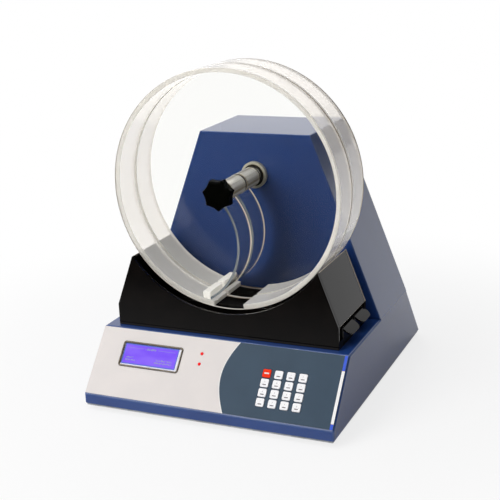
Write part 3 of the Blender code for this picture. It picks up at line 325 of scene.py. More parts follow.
@dataclass(frozen=True)
class Metal(Finish):
    """Bare or plated metal with a grain that runs one way."""

    shade: Colour
    rough: float = 0.22
    grain: tuple[float, float, float] = (1.0, 1.0, 1.0)
    depth: float = 0.03
    metal: float = 1.0
    stain: float = 60.0
    drawn: float = 1.0

    def lay(self, bench: Bench) -> dict[str, Level]:
        """Two tones by stain and grain, uneven gloss and the grain's height.

        Args:
            bench: The bench to mix on.

        Returns:
            Wires and plain values by socket.
        """
        grain = bench.noise(bench.place(self.grain), scale=900.0, detail=3.0, rough=0.6)
        stain = bench.noise(bench.place((1.0, 1.0, self.drawn)), self.stain, detail=3.0)
        blend = bench.step(stain + 0.2 * grain, 0.45, 0.80)
        return {
            "Base Color": bench.mix(blend, self.colour, self.shade),
            "Metallic": self.metal,
            "Roughness": self.rough + 0.16 * (grain - 0.5) + 0.10 * (stain - 0.5),
            "Normal": bench.bump(grain, self.depth, 0.1 * MM),
        }


@dataclass(frozen=True)
class Plastic(Finish):
    """Moulded plastic, rubber or gloss sheet, with its grain and handling marks."""

    shade: Colour
    rough: float = 0.4
    grain: float = 1400.0
    depth: float = 0.1
    gloss: float = 1.5

    def lay(self, bench: Bench) -> dict[str, Level]:
        """Two tones, the mould's grain and worn patches of gloss.

        Args:
            bench: The bench to mix on.

        Returns:
            Wires and plain values by socket.
        """
        spot = bench.place()
        wear = bench.noise(spot, scale=45.0, detail=4.0, rough=0.6)
        grain = bench.noise(spot, self.grain)
        return {
            "Base Color": bench.mix(bench.step(wear, 0.3, 0.75), self.colour, self.shade),
            "Roughness": self.rough * (0.8 + 0.4 * wear),
            "IOR": self.gloss,
            "Normal": bench.bump(grain, self.depth, 0.15 * MM),
        }


@dataclass(frozen=True)
class Film(Finish):
    """Printed polyester film with a fine velvet texture."""

    shade: Colour
    rough: float = 0.38

    def lay(self, bench: Bench) -> dict[str, Level]:
        """Two tones of the ink, uneven gloss and the film's texture.

        Args:
            bench: The bench to mix on.

        Returns:
            Wires and plain values by socket.
        """
        spot = bench.place()
        velvet = bench.noise(spot, scale=2600.0, detail=1.0)
        ink = bench.noise(spot, scale=24.0, detail=3.0)
        blend = bench.step(ink + 0.2 * (velvet - 0.5))
        return {
            "Base Color": bench.mix(blend, self.colour, self.shade),
            "Roughness": self.rough + 0.16 * (ink - 0.5),
            "IOR": 1.36,
            "Normal": bench.bump(velvet, 0.05, 0.05 * MM),
        }


@dataclass(frozen=True)
class Acrylic(Finish):
    """Cast acrylic, from clear sheet to scuffed wall, that lets the lamps through, with a painted
    glow where glow is set.
    """

    shade: Colour
    clear: float = 1.0
    bend: float = 1.49
    rough: float = 0.02
    lamps: float = 1.0
    milk: float = 0.0
    # glow is painted light: an emission that brightens the acrylic though it is no lamp
    glow: float = 0.0

    def lay(self, bench: Bench) -> dict[str, Level]:
        """Scuffs from the tablets, and the sheet's slight tint.

        Args:
            bench: The bench to mix on.

        Returns:
            Wires and plain values by socket.
        """
        spot = bench.place()
        scuff = bench.noise(bench.place((1.0, 1.0, 6.0)), scale=70.0, detail=4.0, rough=0.6)
        dust = bench.noise(spot, scale=1800.0, detail=1.0)
        return {
            "Base Color": bench.mix(bench.step(scuff, 0.3, 0.8), self.colour, self.shade),
            "Roughness": self.rough * (0.6 + 0.8 * scuff + 0.2 * dust),
            "IOR": self.bend,
            "Transmission Weight": self.clear,
            "Subsurface Weight": self.milk,
            "Subsurface Radius": grey(1.0),
            "Subsurface Scale": 0.012,
            # The emission is painted glow, not a lamp.
            "Emission Color": self.colour,
            "Emission Strength": self.glow,
        }

    def top(self, bench: Bench, shader: Wire) -> Wire:
        """Let shadow rays and soft light pass.

        Args:
            bench: The bench to mix on.
            shader: The acrylic's own shader.

        Returns:
            The shader for the output.
        """
        shadow = bench.node("ShaderNodeLightPath", output="Is Shadow Ray")
        passing = self.lamps * (shadow | shadow.beside("Is Diffuse Ray"))
        through = bench.node("ShaderNodeBsdfTransparent")
        return bench.node("ShaderNodeMixShader", None, {0: passing, 1: shader, 2: through})


@dataclass(frozen=True)
class Lens(Finish):
    """A lit lens of coloured plastic."""

    shade: Colour
    glow: float = 0.3

    def lay(self, bench: Bench) -> dict[str, Level]:
        """Two tones of facets, both lit.

        Args:
            bench: The bench to mix on.

        Returns:
            Wires and plain values by socket.
        """
        facets = bench.noise(bench.place(), scale=1500.0)
        tone = bench.mix(bench.step(facets), self.colour, self.shade)
        return {
            "Base Color": tone,
            "Roughness": 0.30 + 0.10 * facets,
            "IOR": 1.30,
            "Emission Color": tone,
            "Emission Strength": self.glow,
        }


@dataclass(frozen=True)
class DotScreen(Finish):
    """A lit dot-matrix screen that shows plain rows of dots, and no words.

    Its patches are left, right, low and high, in shares of the screen.
    """

    ink: Colour
    width: float
    height: float
    glow: float = 0.62
    dot_columns: int = 120
    dot_rows: int = 36
    haze: Colour = (0.25, 0.11, 1.0)
    border: Colour = (0.06, 0.14, 0.66)
    unlit: Colour = (0.02, 0.02, 0.05)
    inside: tuple[Patch, ...] = ((0.018, 0.982, 0.055, 0.945),)
    rows: tuple[Patch, ...] = (
        (0.06, 0.24, 0.17, 0.25), (0.60, 0.92, 0.17, 0.25), (0.06, 0.20, 0.30, 0.38),
        (0.62, 0.92, 0.30, 0.38), (0.38, 0.58, 0.76, 0.86),
    )
    rules: tuple[Patch, ...] = ((0.06, 0.36, 0.80, 0.82), (0.62, 0.94, 0.80, 0.82))

    def lay(self, bench: Bench) -> dict[str, Level]:
        """Backlight, rows of dots that are on, two thin rules and a darker border.

        Args:
            bench: The bench to mix on.

        Returns:
            Wires and plain values by socket.
        """
        across, up, _ = bench.axes(bench.place())
        u = 0.5 + across * (1 / self.width)
        v = 0.5 + up * (1 / self.height)
        cells = bench.place((self.dot_columns / self.width, self.dot_rows / self.height, 0.0))
        dots = bench.node("ShaderNodeVectorMath", {"operation": "FLOOR"}, {0: cells})
        random = bench.node(
            "ShaderNodeTexWhiteNoise", {"noise_dimensions": "3D"}, {"Vector": dots}
        )
        rows, rules, inside = (
            self.mask(u, v, patches) for patches in (self.rows, self.rules, self.inside)
        )
        mark = (random > 0.45) * rows | 0.6 * rules
        haze = bench.noise(bench.place((1.0, 2.5, 1.0)), scale=22.0)
        ground = bench.mix(bench.step(haze), self.colour, self.haze)
        ground = bench.mix(0.85 * (1 - inside), ground, self.border)
        tone = bench.mix(0.75 * mark, ground, self.ink)
        return {
            "Base Color": bench.mix(0.7, tone, self.unlit),
            "Roughness": 0.10 + 0.05 * haze,
            "Emission Color": tone,
            "Emission Strength": self.glow,
        }

    def mask(self, u: Wire, v: Wire, patches: Sequence[Patch]) -> Wire:
        """1 in any of some patches, and 0 elsewhere.

        Args:
            u: The share of the screen's width.
            v: The share of its height.
            patches: Left, right, low and high of each patch.

        Returns:
            The mask.
        """
        masks = [
            (u > left) * (u < right) * (v > low) * (v < high) for left, right, low, high in patches
        ]
        return functools.reduce(operator.or_, masks)


@dataclass(frozen=True)
class CircuitBoard(Finish):
    """Solder mask over copper tracks."""

    shade: Colour
    track: Colour
    pitch: float = 0.004

    def lay(self, bench: Bench) -> dict[str, Level]:
        """Tracks under the mask.

        Args:
            bench: The bench to mix on.

        Returns:
            Wires and plain values by socket.
        """
        spot = bench.place()
        settings = {"offset_frequency": 3, "squash_frequency": 2}
        lines = {
            "Vector": spot, "Scale": 1.0, "Mortar Size": self.pitch / 8,
            "Brick Width": self.pitch * 4, "Row Height": self.pitch,
        }
        track = bench.node("ShaderNodeTexBrick", settings, lines, "Fac")
        patch = bench.noise(spot, scale=120.0, detail=3.0)
        cover = bench.mix(bench.step(patch), self.colour, self.shade)
        return {
            "Base Color": bench.mix(0.6 * track, cover, self.track),
            "Roughness": 0.30 + 0.2 * patch,
            "Normal": bench.bump(track, 0.2, 0.05 * MM),
        }


BLUE_PAINT = Paint("blue_gloss_paint", (0.019, 0.060, 0.235), (0.015, 0.050, 0.205))
# Lighter, rougher paint for the folds: rubbed paint and a painted highlight along each fold.
BLUE_FOLD_HIGHLIGHT = Paint(
    "rubbed_fold_paint_and_highlight", (0.060, 0.115, 0.300), (0.034, 0.078, 0.245), rough=0.24, peel=0.10
)
GALVANISED = Metal("galvanised_sheet", (0.55, 0.56, 0.58), (0.38, 0.39, 0.41), rough=0.42)
CHROME = Metal(
    "drawn_satin_chrome", (1.0, 0.97, 0.86), (0.40, 0.34, 0.22), rough=0.10,
    grain=(1.0, 1.0, 0.03), depth=0.04, metal=0.10, stain=130.0, drawn=0.04,
)
# Dark metal for the hub's grooves and the flange's inner ring: painted shade in those recesses.
GROOVE_SHADE = Metal("painted_groove_shade", (0.075, 0.060, 0.040), (0.040, 0.032, 0.022), rough=0.40)
SATIN_NICKEL = Metal(
    "satin_nickel", (0.80, 0.76, 0.62), (0.66, 0.62, 0.48), rough=0.34,
    grain=(1.0, 1.0, 0.3), depth=0.2, metal=0.55,
)
SCREW_STEEL = Metal("screw_steel", (0.55, 0.55, 0.56), (0.35, 0.35, 0.37), rough=0.30)
SCREEN_FRAME = Metal(
    "screen_frame", (0.42, 0.42, 0.45), (0.33, 0.33, 0.37), rough=0.35, grain=(1.0, 8.0, 1.0)
)
BLACK_SHEET = Plastic(
    "black_gloss_sheet", (0.0018, 0.0012, 0.0010), (0.0040, 0.0027, 0.0022),
    rough=0.08, grain=300.0, depth=0.015, gloss=1.27,
)
BLACK_MOULDED = Plastic(
    "black_moulded", (0.0015, 0.0015, 0.0013), (0.0040, 0.0038, 0.0032),
    rough=0.34, grain=1500.0, depth=0.12, gloss=1.16,
)
# Pale colour on the bevels of black sheet: a painted highlight along the rims.
EDGE_HIGHLIGHT = Plastic(
    "polished_edge_painted_highlight", (0.66, 0.57, 0.48), (0.52, 0.44, 0.36),
    rough=0.25, grain=900.0, depth=0.05, gloss=1.45,
)
# The bond round each disc's hub in two copies: pale on the lid as painted light, dark on the back
# disc as painted shade.
BOND_LIT = Plastic(
    "bond_painted_light", (0.52, 0.44, 0.30), (0.40, 0.33, 0.21), rough=0.35, grain=900.0, gloss=1.4
)
BOND_SHADE = Plastic(
    "bond_painted_shade", (0.050, 0.036, 0.022), (0.030, 0.022, 0.014), rough=0.35, grain=900.0, gloss=1.4
)
RIM_BROWN = Plastic(
    "display_rim_brown", (0.022, 0.015, 0.011), (0.034, 0.024, 0.018),
    rough=0.30, grain=1500.0, depth=0.05, gloss=1.40,
)
# Tan on the black rim's flat top: a painted highlight.
RIM_TAN_HIGHLIGHT = Plastic(
    "display_rim_painted_highlight", (0.40, 0.32, 0.21), (0.32, 0.25, 0.16),
    rough=0.30, grain=1500.0, depth=0.05, gloss=1.40,
)
KNOB_BLACK = Plastic(
    "knob_black", (0.0006, 0.0007, 0.0003), (0.0022, 0.0022, 0.0014),
    rough=0.30, grain=1500.0, depth=0.12, gloss=1.07,
)
BLACK_RUBBER = Plastic(
    "moulded_rubber", (0.012, 0.012, 0.012), (0.028, 0.027, 0.026),
    rough=0.75, grain=900.0, depth=0.4, gloss=1.4,
)
KEY_WHITE = Plastic(
    "moulded_key_white", (0.97, 0.96, 0.97), (0.93, 0.92, 0.94),
    rough=0.42, grain=1200.0, depth=0.08,
)
KEY_RED = Plastic(
    "moulded_key_red", (0.98, 0.040, 0.004), (0.93, 0.032, 0.003),
    rough=0.40, grain=1200.0, depth=0.08, gloss=1.2,
)
INK_DARK = Plastic("ink_dark", (0.05, 0.035, 0.04), (0.09, 0.06, 0.07), rough=0.5)
INK_PALE = Plastic("ink_pale", (0.38, 0.32, 0.38), (0.50, 0.44, 0.50), rough=0.5)
INK_WHITE = Plastic("ink_white", (0.85, 0.78, 0.76), (0.75, 0.66, 0.64), rough=0.5)
PRINT = {
    Ink.WARM: Film("film_warm_white", (0.775, 0.725, 0.700), (0.745, 0.700, 0.680)),
    Ink.SLATE: Film("film_slate", (0.026, 0.058, 0.097), (0.021, 0.049, 0.084)),
    Ink.LINE: Film("film_white_line", (0.86, 0.84, 0.82), (0.82, 0.80, 0.78)),
    Ink.STRIP: Film("film_white_strip", (0.98, 0.97, 0.96), (0.95, 0.94, 0.94)),
    # Bright blue at the ends of the right strip: a painted highlight of lit blue paint.
    Ink.BLUE: Film("film_blue_painted_highlight", (0.040, 0.115, 0.72), (0.030, 0.090, 0.62)),
    Ink.PEACH: Film("film_peach_line", (0.80, 0.58, 0.46), (0.75, 0.52, 0.42)),
    Ink.SHADOW: Film("film_key_shadow", (0.018, 0.040, 0.082), (0.014, 0.032, 0.066)),
}
CLEAR_DISC = Acrylic(
    "acrylic_clear_disc", (0.995, 0.995, 0.99), (0.99, 0.99, 0.985), bend=1.10, rough=0.004
)
# The wall's inside: scuffed milky acrylic that also gives off a painted glow. The outside below has
# a faint painted glow.
SCUFFED_GLOWING_WALL = Acrylic(
    "acrylic_scuffed_wall", (0.965, 0.938, 0.895), (0.87, 0.825, 0.765), clear=0.72, bend=1.22,
    rough=0.04, lamps=0.92, milk=1.0, glow=0.21,
)
OUTER_WALL = Acrylic(
    "acrylic_outer_wall", (0.95, 0.905, 0.87), (0.915, 0.87, 0.835), clear=0.86, bend=1.22,
    rough=0.04, lamps=0.92, milk=1.0, glow=0.01,
)
CLEAR_ARM = Acrylic(
    "acrylic_clear_arm", (0.98, 0.98, 0.97), (0.96, 0.96, 0.95), clear=0.97, bend=1.15
)
# Cut acrylic edges painted cream and glowing: painted light, as edges lit from within.
EDGE_CREAM_GLOW = Acrylic(
    "acrylic_edge_cream_painted_glow", (0.86, 0.82, 0.75), (0.80, 0.76, 0.68), clear=0.15, bend=1.40,
    rough=0.15, lamps=0.7, milk=0.6, glow=0.05,
)
# The back disc's rim painted tan: painted shade, a darker copy of the lid's rim.
EDGE_TAN_SHADE = Acrylic(
    "acrylic_edge_tan_painted_shade", (0.32, 0.25, 0.18), (0.24, 0.18, 0.13), clear=0.20, bend=1.40,
    rough=0.15, lamps=0.4,
)
# The arm's back edge painted peach: painted light, a lit copy of the edge.
EDGE_PEACH_GLOW = Acrylic(
    "acrylic_edge_peach_painted_glow", (0.98, 0.84, 0.66), (0.96, 0.80, 0.60), clear=0.10, bend=1.40,
    rough=0.20, lamps=0.4, milk=0.6,
)
# The arm's front edge painted dim: painted shade, a darker copy of its back edge.
EDGE_DIM_SHADE = Acrylic(
    "acrylic_edge_dim_painted_shade", (0.22, 0.27, 0.32), (0.16, 0.20, 0.25), clear=0.45, bend=1.40,
    rough=0.10, lamps=0.5,
)
# Frosted acrylic for the arm's end block, with a painted glow.
BLOCK_FROST_GLOW = Acrylic(
    "acrylic_frosted_block_painted_glow", (1.0, 0.97, 0.90), (0.97, 0.93, 0.83), clear=0.35, bend=1.45,
    rough=0.10, lamps=0.9, milk=0.5, glow=0.20,
)
LENS_RED = Lens("lens_red", (0.74, 0.003, 0.004), (0.62, 0.002, 0.003), glow=0.50)
BOARD_GREEN = CircuitBoard(
    "green_circuit_board", (0.02, 0.16, 0.06), (0.01, 0.10, 0.04), (0.30, 0.24, 0.10)
)


# ---------------------------------------------------------------- mesh work


def move(x: float, y: float, z: float) -> Matrix:
    """The matrix of a plain move."""
    return Matrix.Translation((x, y, z))


def arc(radius: float, start: float, end: float, steps: int, centre: Point = (0.0, 0.0)) -> Loop:
    """Points of an arc in even steps from one angle to another, both included."""
    angles = [start + (end - start) * step / steps for step in range(steps + 1)]
    return [(centre[0] + radius * math.cos(a), centre[1] + radius * math.sin(a)) for a in angles]


def circle(radius: float, steps: int, centre: Point = (0.0, 0.0)) -> Loop:
    """Points of a whole circle."""
    return arc(radius, 0.0, 2 * math.pi, steps, centre)[:-1]


def rounded(
    width: float, height: float, corner: float, centre: Point = (0.0, 0.0), steps: int = 6
) -> Loop:
    """Points of a rectangle with round corners.

    Args:
        width: Its width.
        height: Its height.
        corner: The corners' radius.
        centre: Its middle.
        steps: Chords in each corner.

    Returns:
        The points in order.
    """
    points = []
    for quarter, (side, end) in enumerate(((1, 1), (-1, 1), (-1, -1), (1, -1))):
        middle = (
            centre[0] + side * (width / 2 - corner), centre[1] + end * (height / 2 - corner)
        )
        start = quarter * math.pi / 2
        points += arc(corner, start, start + math.pi / 2, steps, middle)
    return points


def inside_rounded(spot: Point, width: float, height: float, corner: float, centre: Point) -> bool:
    """Whether a point lies in a rectangle with round corners.

    Args:
        spot: The point.
        width: The rectangle's width.
        height: Its height.
        corner: Its corners' radius.
        centre: Its middle.

    Returns:
        True inside.
    """
    over_x = abs(spot[0] - centre[0]) - (width / 2 - corner)
    over_y = abs(spot[1] - centre[1]) - (height / 2 - corner)
    if max(over_x, over_y) <= 0:
        return True
    return math.hypot(max(over_x, 0.0), max(over_y, 0.0)) <= corner


def lift(loop: Sequence[Point], height: float) -> list[tuple[float, float, float]]:
    """A flat loop at a height."""
    return [(x, y, height) for x, y in loop]


def mirrored(half: Sequence[Point]) -> Loop:
    """The mirror image of a half outline, from its end back to its start."""
    return [(-x, y) for x, y in reversed(half)]


def axis_frame(setback: float) -> Matrix:
    """A frame on the shaft's axis, Z to the viewer, so far behind the front of the case."""
    return move(0, setback - CASE_DEPTH / 2, AXIS_Z) @ FRONT


class Piece:
    """One visible piece: its mesh and its finishes."""

    def __init__(self, name: str, work: bmesh.types.BMesh) -> None:
        """Turn mesh work into an object.

        Args:
            name: The piece's name.
            work: The mesh work, which is freed.
        """
        bmesh.ops.recalc_face_normals(work, faces=work.faces)
        mesh = bpy.data.meshes.new(name)
        work.to_mesh(mesh)
        work.free()
        self.obj = bpy.data.objects.new(name, mesh)
        bpy.context.scene.collection.objects.link(self.obj)

    @classmethod
    def lofted(
        cls, name: str, loops: Sequence[Sequence[Sequence[float]]], closed: bool = False
    ) -> "Piece":
        """A solid through loops of equal count.

        Args:
            name: The piece's name.
            loops: The loops, end to end.
            closed: True where the last loop meets the first, so that there are no end caps.

        Returns:
            The piece.
        """
        work = bmesh.new()
        rings = [[work.verts.new(point) for point in loop] for loop in loops]
        pairs = list(zip(rings, rings[1:])) + ([(rings[-1], rings[0])] if closed else [])
        for low, high in pairs:
            for index in range(len(low)):
                after = (index + 1) % len(low)
                work.faces.new((low[index], low[after], high[after], high[index]))
        if not closed:
            work.faces.new(list(reversed(rings[0])))
            work.faces.new(rings[-1])
        return cls(name, work)

    @classmethod
    def turned(
        cls, name: str, profile: Sequence[Point], steps: int = 96, closed: bool = False
    ) -> "Piece":
        """A piece turned about its own Z from radii and heights, closed for a ring."""
        loops = [lift(circle(radius, steps), height) for radius, height in profile]
        return cls.lofted(name, loops, closed)

    @classmethod
    def rod(cls, name: str, radius: float, low: float, high: float, steps: int) -> "Piece":
        """A plain round bar along its own Z, for cutting with."""
        return cls.turned(name, [(radius, low), (radius, high)], steps)

    @classmethod
    def sheet(cls, name: str, loops: Sequence[Sequence[Point]], thickness: float) -> "Piece":
        """A flat plate about its own XY plane: the first loop is its outline, the others are holes.

        Args:
            name: The piece's name.
            loops: The outline and the holes.
            thickness: Its thickness, half on each side.

        Returns:
            The piece.
        """
        curve = bpy.data.curves.new(name, "CURVE")
        curve.dimensions = "2D"
        curve.fill_mode = "BOTH"
        curve.extrude = thickness / 2
        for loop in loops:
            spline = curve.splines.new("POLY")
            spline.points.add(len(loop) - 1)
            for point, (x, y) in zip(spline.points, loop):
                point.co = (x, y, 0, 1)
            spline.use_cyclic_u = True
        return cls.from_curve(name, curve)

    @classmethod
    def lettered(cls, name: str, text: str, size: float, thickness: float) -> "Piece":
        """A generic sign as thin print, about its own middle.

        Args:
            name: The piece's name.
            text: The sign.
            size: The size of the font.
            thickness: The print's thickness.

        Returns:
            The piece.
        """
        curve = bpy.data.curves.new(name, "FONT")
        curve.body = text
        curve.size = size
        curve.extrude = thickness / 2
        curve.resolution_u = 3
        curve.align_x = "CENTER"
        curve.align_y = "CENTER"
        return cls.from_curve(name, curve)

    @classmethod
    def from_curve(cls, name: str, curve: bpy.types.Curve) -> "Piece":
        """The mesh that a curve's settings give.

        Args:
            name: The piece's name.
            curve: The curve, which is removed.

        Returns:
            The piece.
        """
        guide = bpy.data.objects.new(name, curve)
        bpy.context.scene.collection.objects.link(guide)
        bpy.context.view_layer.update()
        graph = bpy.context.evaluated_depsgraph_get()
        mesh = bpy.data.meshes.new_from_object(guide.evaluated_get(graph))
        bpy.data.objects.remove(guide)
        bpy.data.curves.remove(curve)
        work = bmesh.new()
        work.from_mesh(mesh)
        bpy.data.meshes.remove(mesh)
        bmesh.ops.remove_doubles(work, verts=work.verts, dist=0.002 * MM)
        return cls(name, work)

    @classmethod
    def box(
        cls, name: str, size: Sequence[float], centre: Sequence[float] = (0.0, 0.0, 0.0)
    ) -> "Piece":
        """A block, for cutting with or for bevelling.

        Args:
            name: The piece's name.
            size: Its three sides.
            centre: Its middle.

        Returns:
            The piece.
        """
        x, y, z = (side / 2 for side in size)
        base = [(x, y), (-x, y), (-x, -y), (x, -y)]
        return cls.lofted(name, [lift(base, -z), lift(base, z)]).moved(move(*centre))

    @classmethod
    def joined(cls, name: str, parts: Sequence["Piece"]) -> "Piece":
        """Several meshes as one piece, each with the material slot of its place in the row.

        Args:
            name: The piece's name.
            parts: The pieces, which are removed.

        Returns:
            The piece.
        """
        work = bmesh.new()
        for index, part in enumerate(parts):
            first = len(work.faces)
            part.settle()
            work.from_mesh(part.obj.data)
            work.faces.ensure_lookup_table()
            for face in work.faces[first:]:
                face.material_index = index
            part.remove()
        return cls(name, work)

    def remove(self) -> None:
        """Take the piece out of the scene."""
        mesh = self.obj.data
        bpy.data.objects.remove(self.obj)
        bpy.data.meshes.remove(mesh)

    def modified(self, kind: str, **settings: object) -> "Piece":
        """Add a modifier.

        Args:
            kind: The modifier's type.
            settings: Its settings by name.

        Returns:
            The piece.
        """
        modifier = self.obj.modifiers.new(kind, kind)
        for name, value in settings.items():
            setattr(modifier, name, value)
        return self

    def settle(self) -> "Piece":
        """Turn the modifiers so far into the mesh itself.

        Returns:
            The piece.
        """
        if self.obj.modifiers:
            bpy.context.view_layer.update()
            graph = bpy.context.evaluated_depsgraph_get()
            mesh = bpy.data.meshes.new_from_object(self.obj.evaluated_get(graph))
            old = self.obj.data
            self.obj.modifiers.clear()
            self.obj.data = mesh
            bpy.data.meshes.remove(old)
        return self

    def moved(self, matrix: Matrix) -> "Piece":
        """Move the mesh's own points."""
        self.obj.data.transform(matrix)
        return self

    def framed(self, matrix: Matrix) -> "Piece":
        """Set the object's place, which its materials follow."""
        self.obj.matrix_world = matrix
        return self

    def bevelled(self, width: float, steps: int = 2, limit: float = 30.0) -> "Piece":
        """Round the edges whose angle is over a limit, in degrees."""
        limits = {"limit_method": "ANGLE", "angle_limit": math.radians(limit)}
        return self.modified("BEVEL", width=width, segments=steps, **limits).settle()

    def shelled(self, thickness: float) -> "Piece":
        """Give an open surface its thickness, on the inside."""
        even = {"use_even_offset": True, "use_quality_normals": True}
        return self.modified("SOLIDIFY", thickness=thickness, offset=-1, **even).settle()

    def cut(self, *tools: "Piece", way: Cut = Cut.AWAY) -> "Piece":
        """Cut the piece with others, or join them to it.

        Args:
            tools: The other pieces, which are removed.
            way: What is left.

        Returns:
            The piece.
        """
        for tool in tools:
            self.modified("BOOLEAN", object=tool.obj, operation=way.value, solver="EXACT")
        self.settle()
        for tool in tools:
            tool.remove()
        return self

    def opened(self, direction: Sequence[float], margin: float) -> "Piece":
        """Open the faces that look one way, and leave a flange round each.

        Args:
            direction: The way that they look.
            margin: The flange's width.

        Returns:
            The piece.
        """
        work = bmesh.new()
        work.from_mesh(self.obj.data)
        bmesh.ops.dissolve_limit(
            work, angle_limit=math.radians(1), verts=work.verts, edges=work.edges
        )
        work.normal_update()
        faces = [f for f in work.faces if f.normal.dot(Vector(direction)) > 0.995]
        for face in faces:
            bmesh.ops.inset_individual(
                work, faces=[face], thickness=margin, use_even_offset=True
            )
        bmesh.ops.delete(work, geom=faces, context="FACES_ONLY")
        bmesh.ops.delete(work, geom=[e for e in work.edges if not e.link_faces], context="EDGES")
        work.to_mesh(self.obj.data)
        work.free()
        return self

    def zoned(self, zone: Callable[[Vector, Vector], int]) -> "Piece":
        """Give each face a material slot.

        Args:
            zone: The slot's number from a face's middle and normal.

        Returns:
            The piece.
        """
        for face in self.settle().obj.data.polygons:
            face.material_index = zone(face.center, face.normal)
        return self

    def softened(self, angle: float = 35.0) -> "Piece":
        """Shade the curved faces smoothly and keep the flat ones flat.

        Args:
            angle: Edges sharper than this stay sharp, in degrees.

        Returns:
            The piece.
        """
        mesh = self.settle().obj.data
        mesh.shade_smooth()
        mesh.set_sharp_from_angle(angle=math.radians(angle))
        return self.modified("WEIGHTED_NORMAL", keep_sharp=True)


@dataclass
class SubAssembly:
    """A group of pieces that are built, dressed and handed to the frame together."""

    pieces: dict[str, Piece] = field(default_factory=dict, init=False, repr=False)

    def build(self) -> None:
        """Make the meshes."""
        raise NotImplementedError

    def dress(self) -> None:
        """Give the meshes their finishes, bodies and slots."""
        raise NotImplementedError

    def keep(self, piece: Piece) -> Piece:
        """Take a new piece in under its own name."""
        self.pieces[piece.obj.name] = piece
        return piece

    def hand(
        self, name: str, looks: Sequence[Finish], body: str, slot: str, *nodes: str
    ) -> None:
        """Dress a piece, let it ride on a body, and name the nodes it stands for.

        Args:
            name: The piece's name.
            looks: Its finishes, in the order of its material slots.
            body: The body's name.
            slot: Not used.
            nodes: The nodes that it replaces.
        """
        obj = self.pieces[name].obj
        for finish in looks:
            obj.data.materials.append(finish.material())
        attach(obj, body)
        if nodes:
            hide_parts(*nodes)
        LOG.info("%s rides on %s and stands for %s", name, body, ", ".join(nodes) or "no node")


def folded(*slopes: Vector) -> Callable[[Vector, Vector], int]:
    """The zone of a bent sheet's folds, whose paint is rubbed and lighter as a painted highlight: 1
    there, and 0 on its flats.

    Args:
        slopes: The normals of the flats that face none of the three axes.

    Returns:
        A zone function of a face's middle and normal.
    """
    flats = [Vector(axis) for axis in ((1, 0, 0), (0, 1, 0), (0, 0, 1))]
    flats += [slope.normalized() for slope in slopes]
    return lambda spot, normal: int(max(abs(normal.dot(flat)) for flat in flats) < 0.985)


def plain(spot: Vector, normal: Vector) -> int:
    """The zone of a piece that has one finish all over."""
    return 0


# ---------------------------------------------------------------- the tester


@dataclass
class LowerCase(SubAssembly):
    """Lip, console, deck, sides and sloping back, bent from one sheet, on four rubber feet."""

    bottom: float = 0.0071
    lip: float = 0.014
    console_run: float = 0.062
    bend: float = 0.0025
    flange: float = 0.014
    cable_hole: Point = (0.060, 0.030)
    cable_spot: Point = (-0.080, 0.061)
    foot_inset: float = 0.034
    foot_profile: Profile = (
        (0.0030, 0.0016), (0.0048, 0.0016), (0.0052, 0.0012), (0.0052, 0.0), (0.0078, 0.0),
        (0.0083, 0.0004), (0.0099, 0.0042), (0.0100, 0.0047), (0.0097, 0.0050), (0.0030, 0.0050),
    )

    def build(self) -> None:
        """Make the case and its feet."""
        front, back, lip = -CASE_DEPTH / 2, CASE_DEPTH / 2, self.bottom + self.lip
        outline = [
            (front, self.bottom), (back, self.bottom), (TOWER_BACK_Y, DECK_Z),
            (front + self.console_run, DECK_Z), (front, lip),
        ]
        case = self.keep(Piece.sheet("case_shell", [outline], CASE_WIDTH))
        case.opened((0, -1, 0), self.flange).bevelled(self.bend, FOLD_STEPS).shelled(SHEET)
        case.moved(SIDE)
        reach = 2 * (SHEET + OVERRUN)
        cable = Piece.box("cable_hole", (*self.cable_hole, reach), (*self.cable_spot, DECK_Z))
        console_slope = Vector((0, lip - DECK_Z, self.console_run))
        back_slope = Vector((0, DECK_Z - self.bottom, back - TOWER_BACK_Y))
        case.cut(cable, *Console().openings(reach))
        case.zoned(folded(console_slope, back_slope)).softened()

        for name, side, end in self.foot_places():
            foot = self.keep(Piece.turned(f"foot_pad_{name}", self.foot_profile, 48)).softened()
            across = CASE_WIDTH / 2 - self.foot_inset
            foot.framed(move(side * across, end * (back - self.foot_inset), 0))

    def foot_places(self) -> Iterator[tuple[str, int, int]]:
        """The name of each foot, its side and its end.

        Returns:
            An iterator over the four feet.
        """
        for end_name, end in (("front", -1), ("rear", 1)):
            for side_name, side in (("left", -1), ("right", 1)):
                yield f"{end_name}_{side_name}", side, end

    def dress(self) -> None:
        """Paint the case, and give it black rubber feet."""
        self.hand("case_shell", (BLUE_PAINT, BLUE_FOLD_HIGHLIGHT), Body.ROOT, "blue_paint", "lower_case")
        for name, _, _ in self.foot_places():
            looks = (BLACK_RUBBER,)
            self.hand(f"foot_pad_{name}", looks, Body.ROOT, "black_rubber", f"foot_{name}")


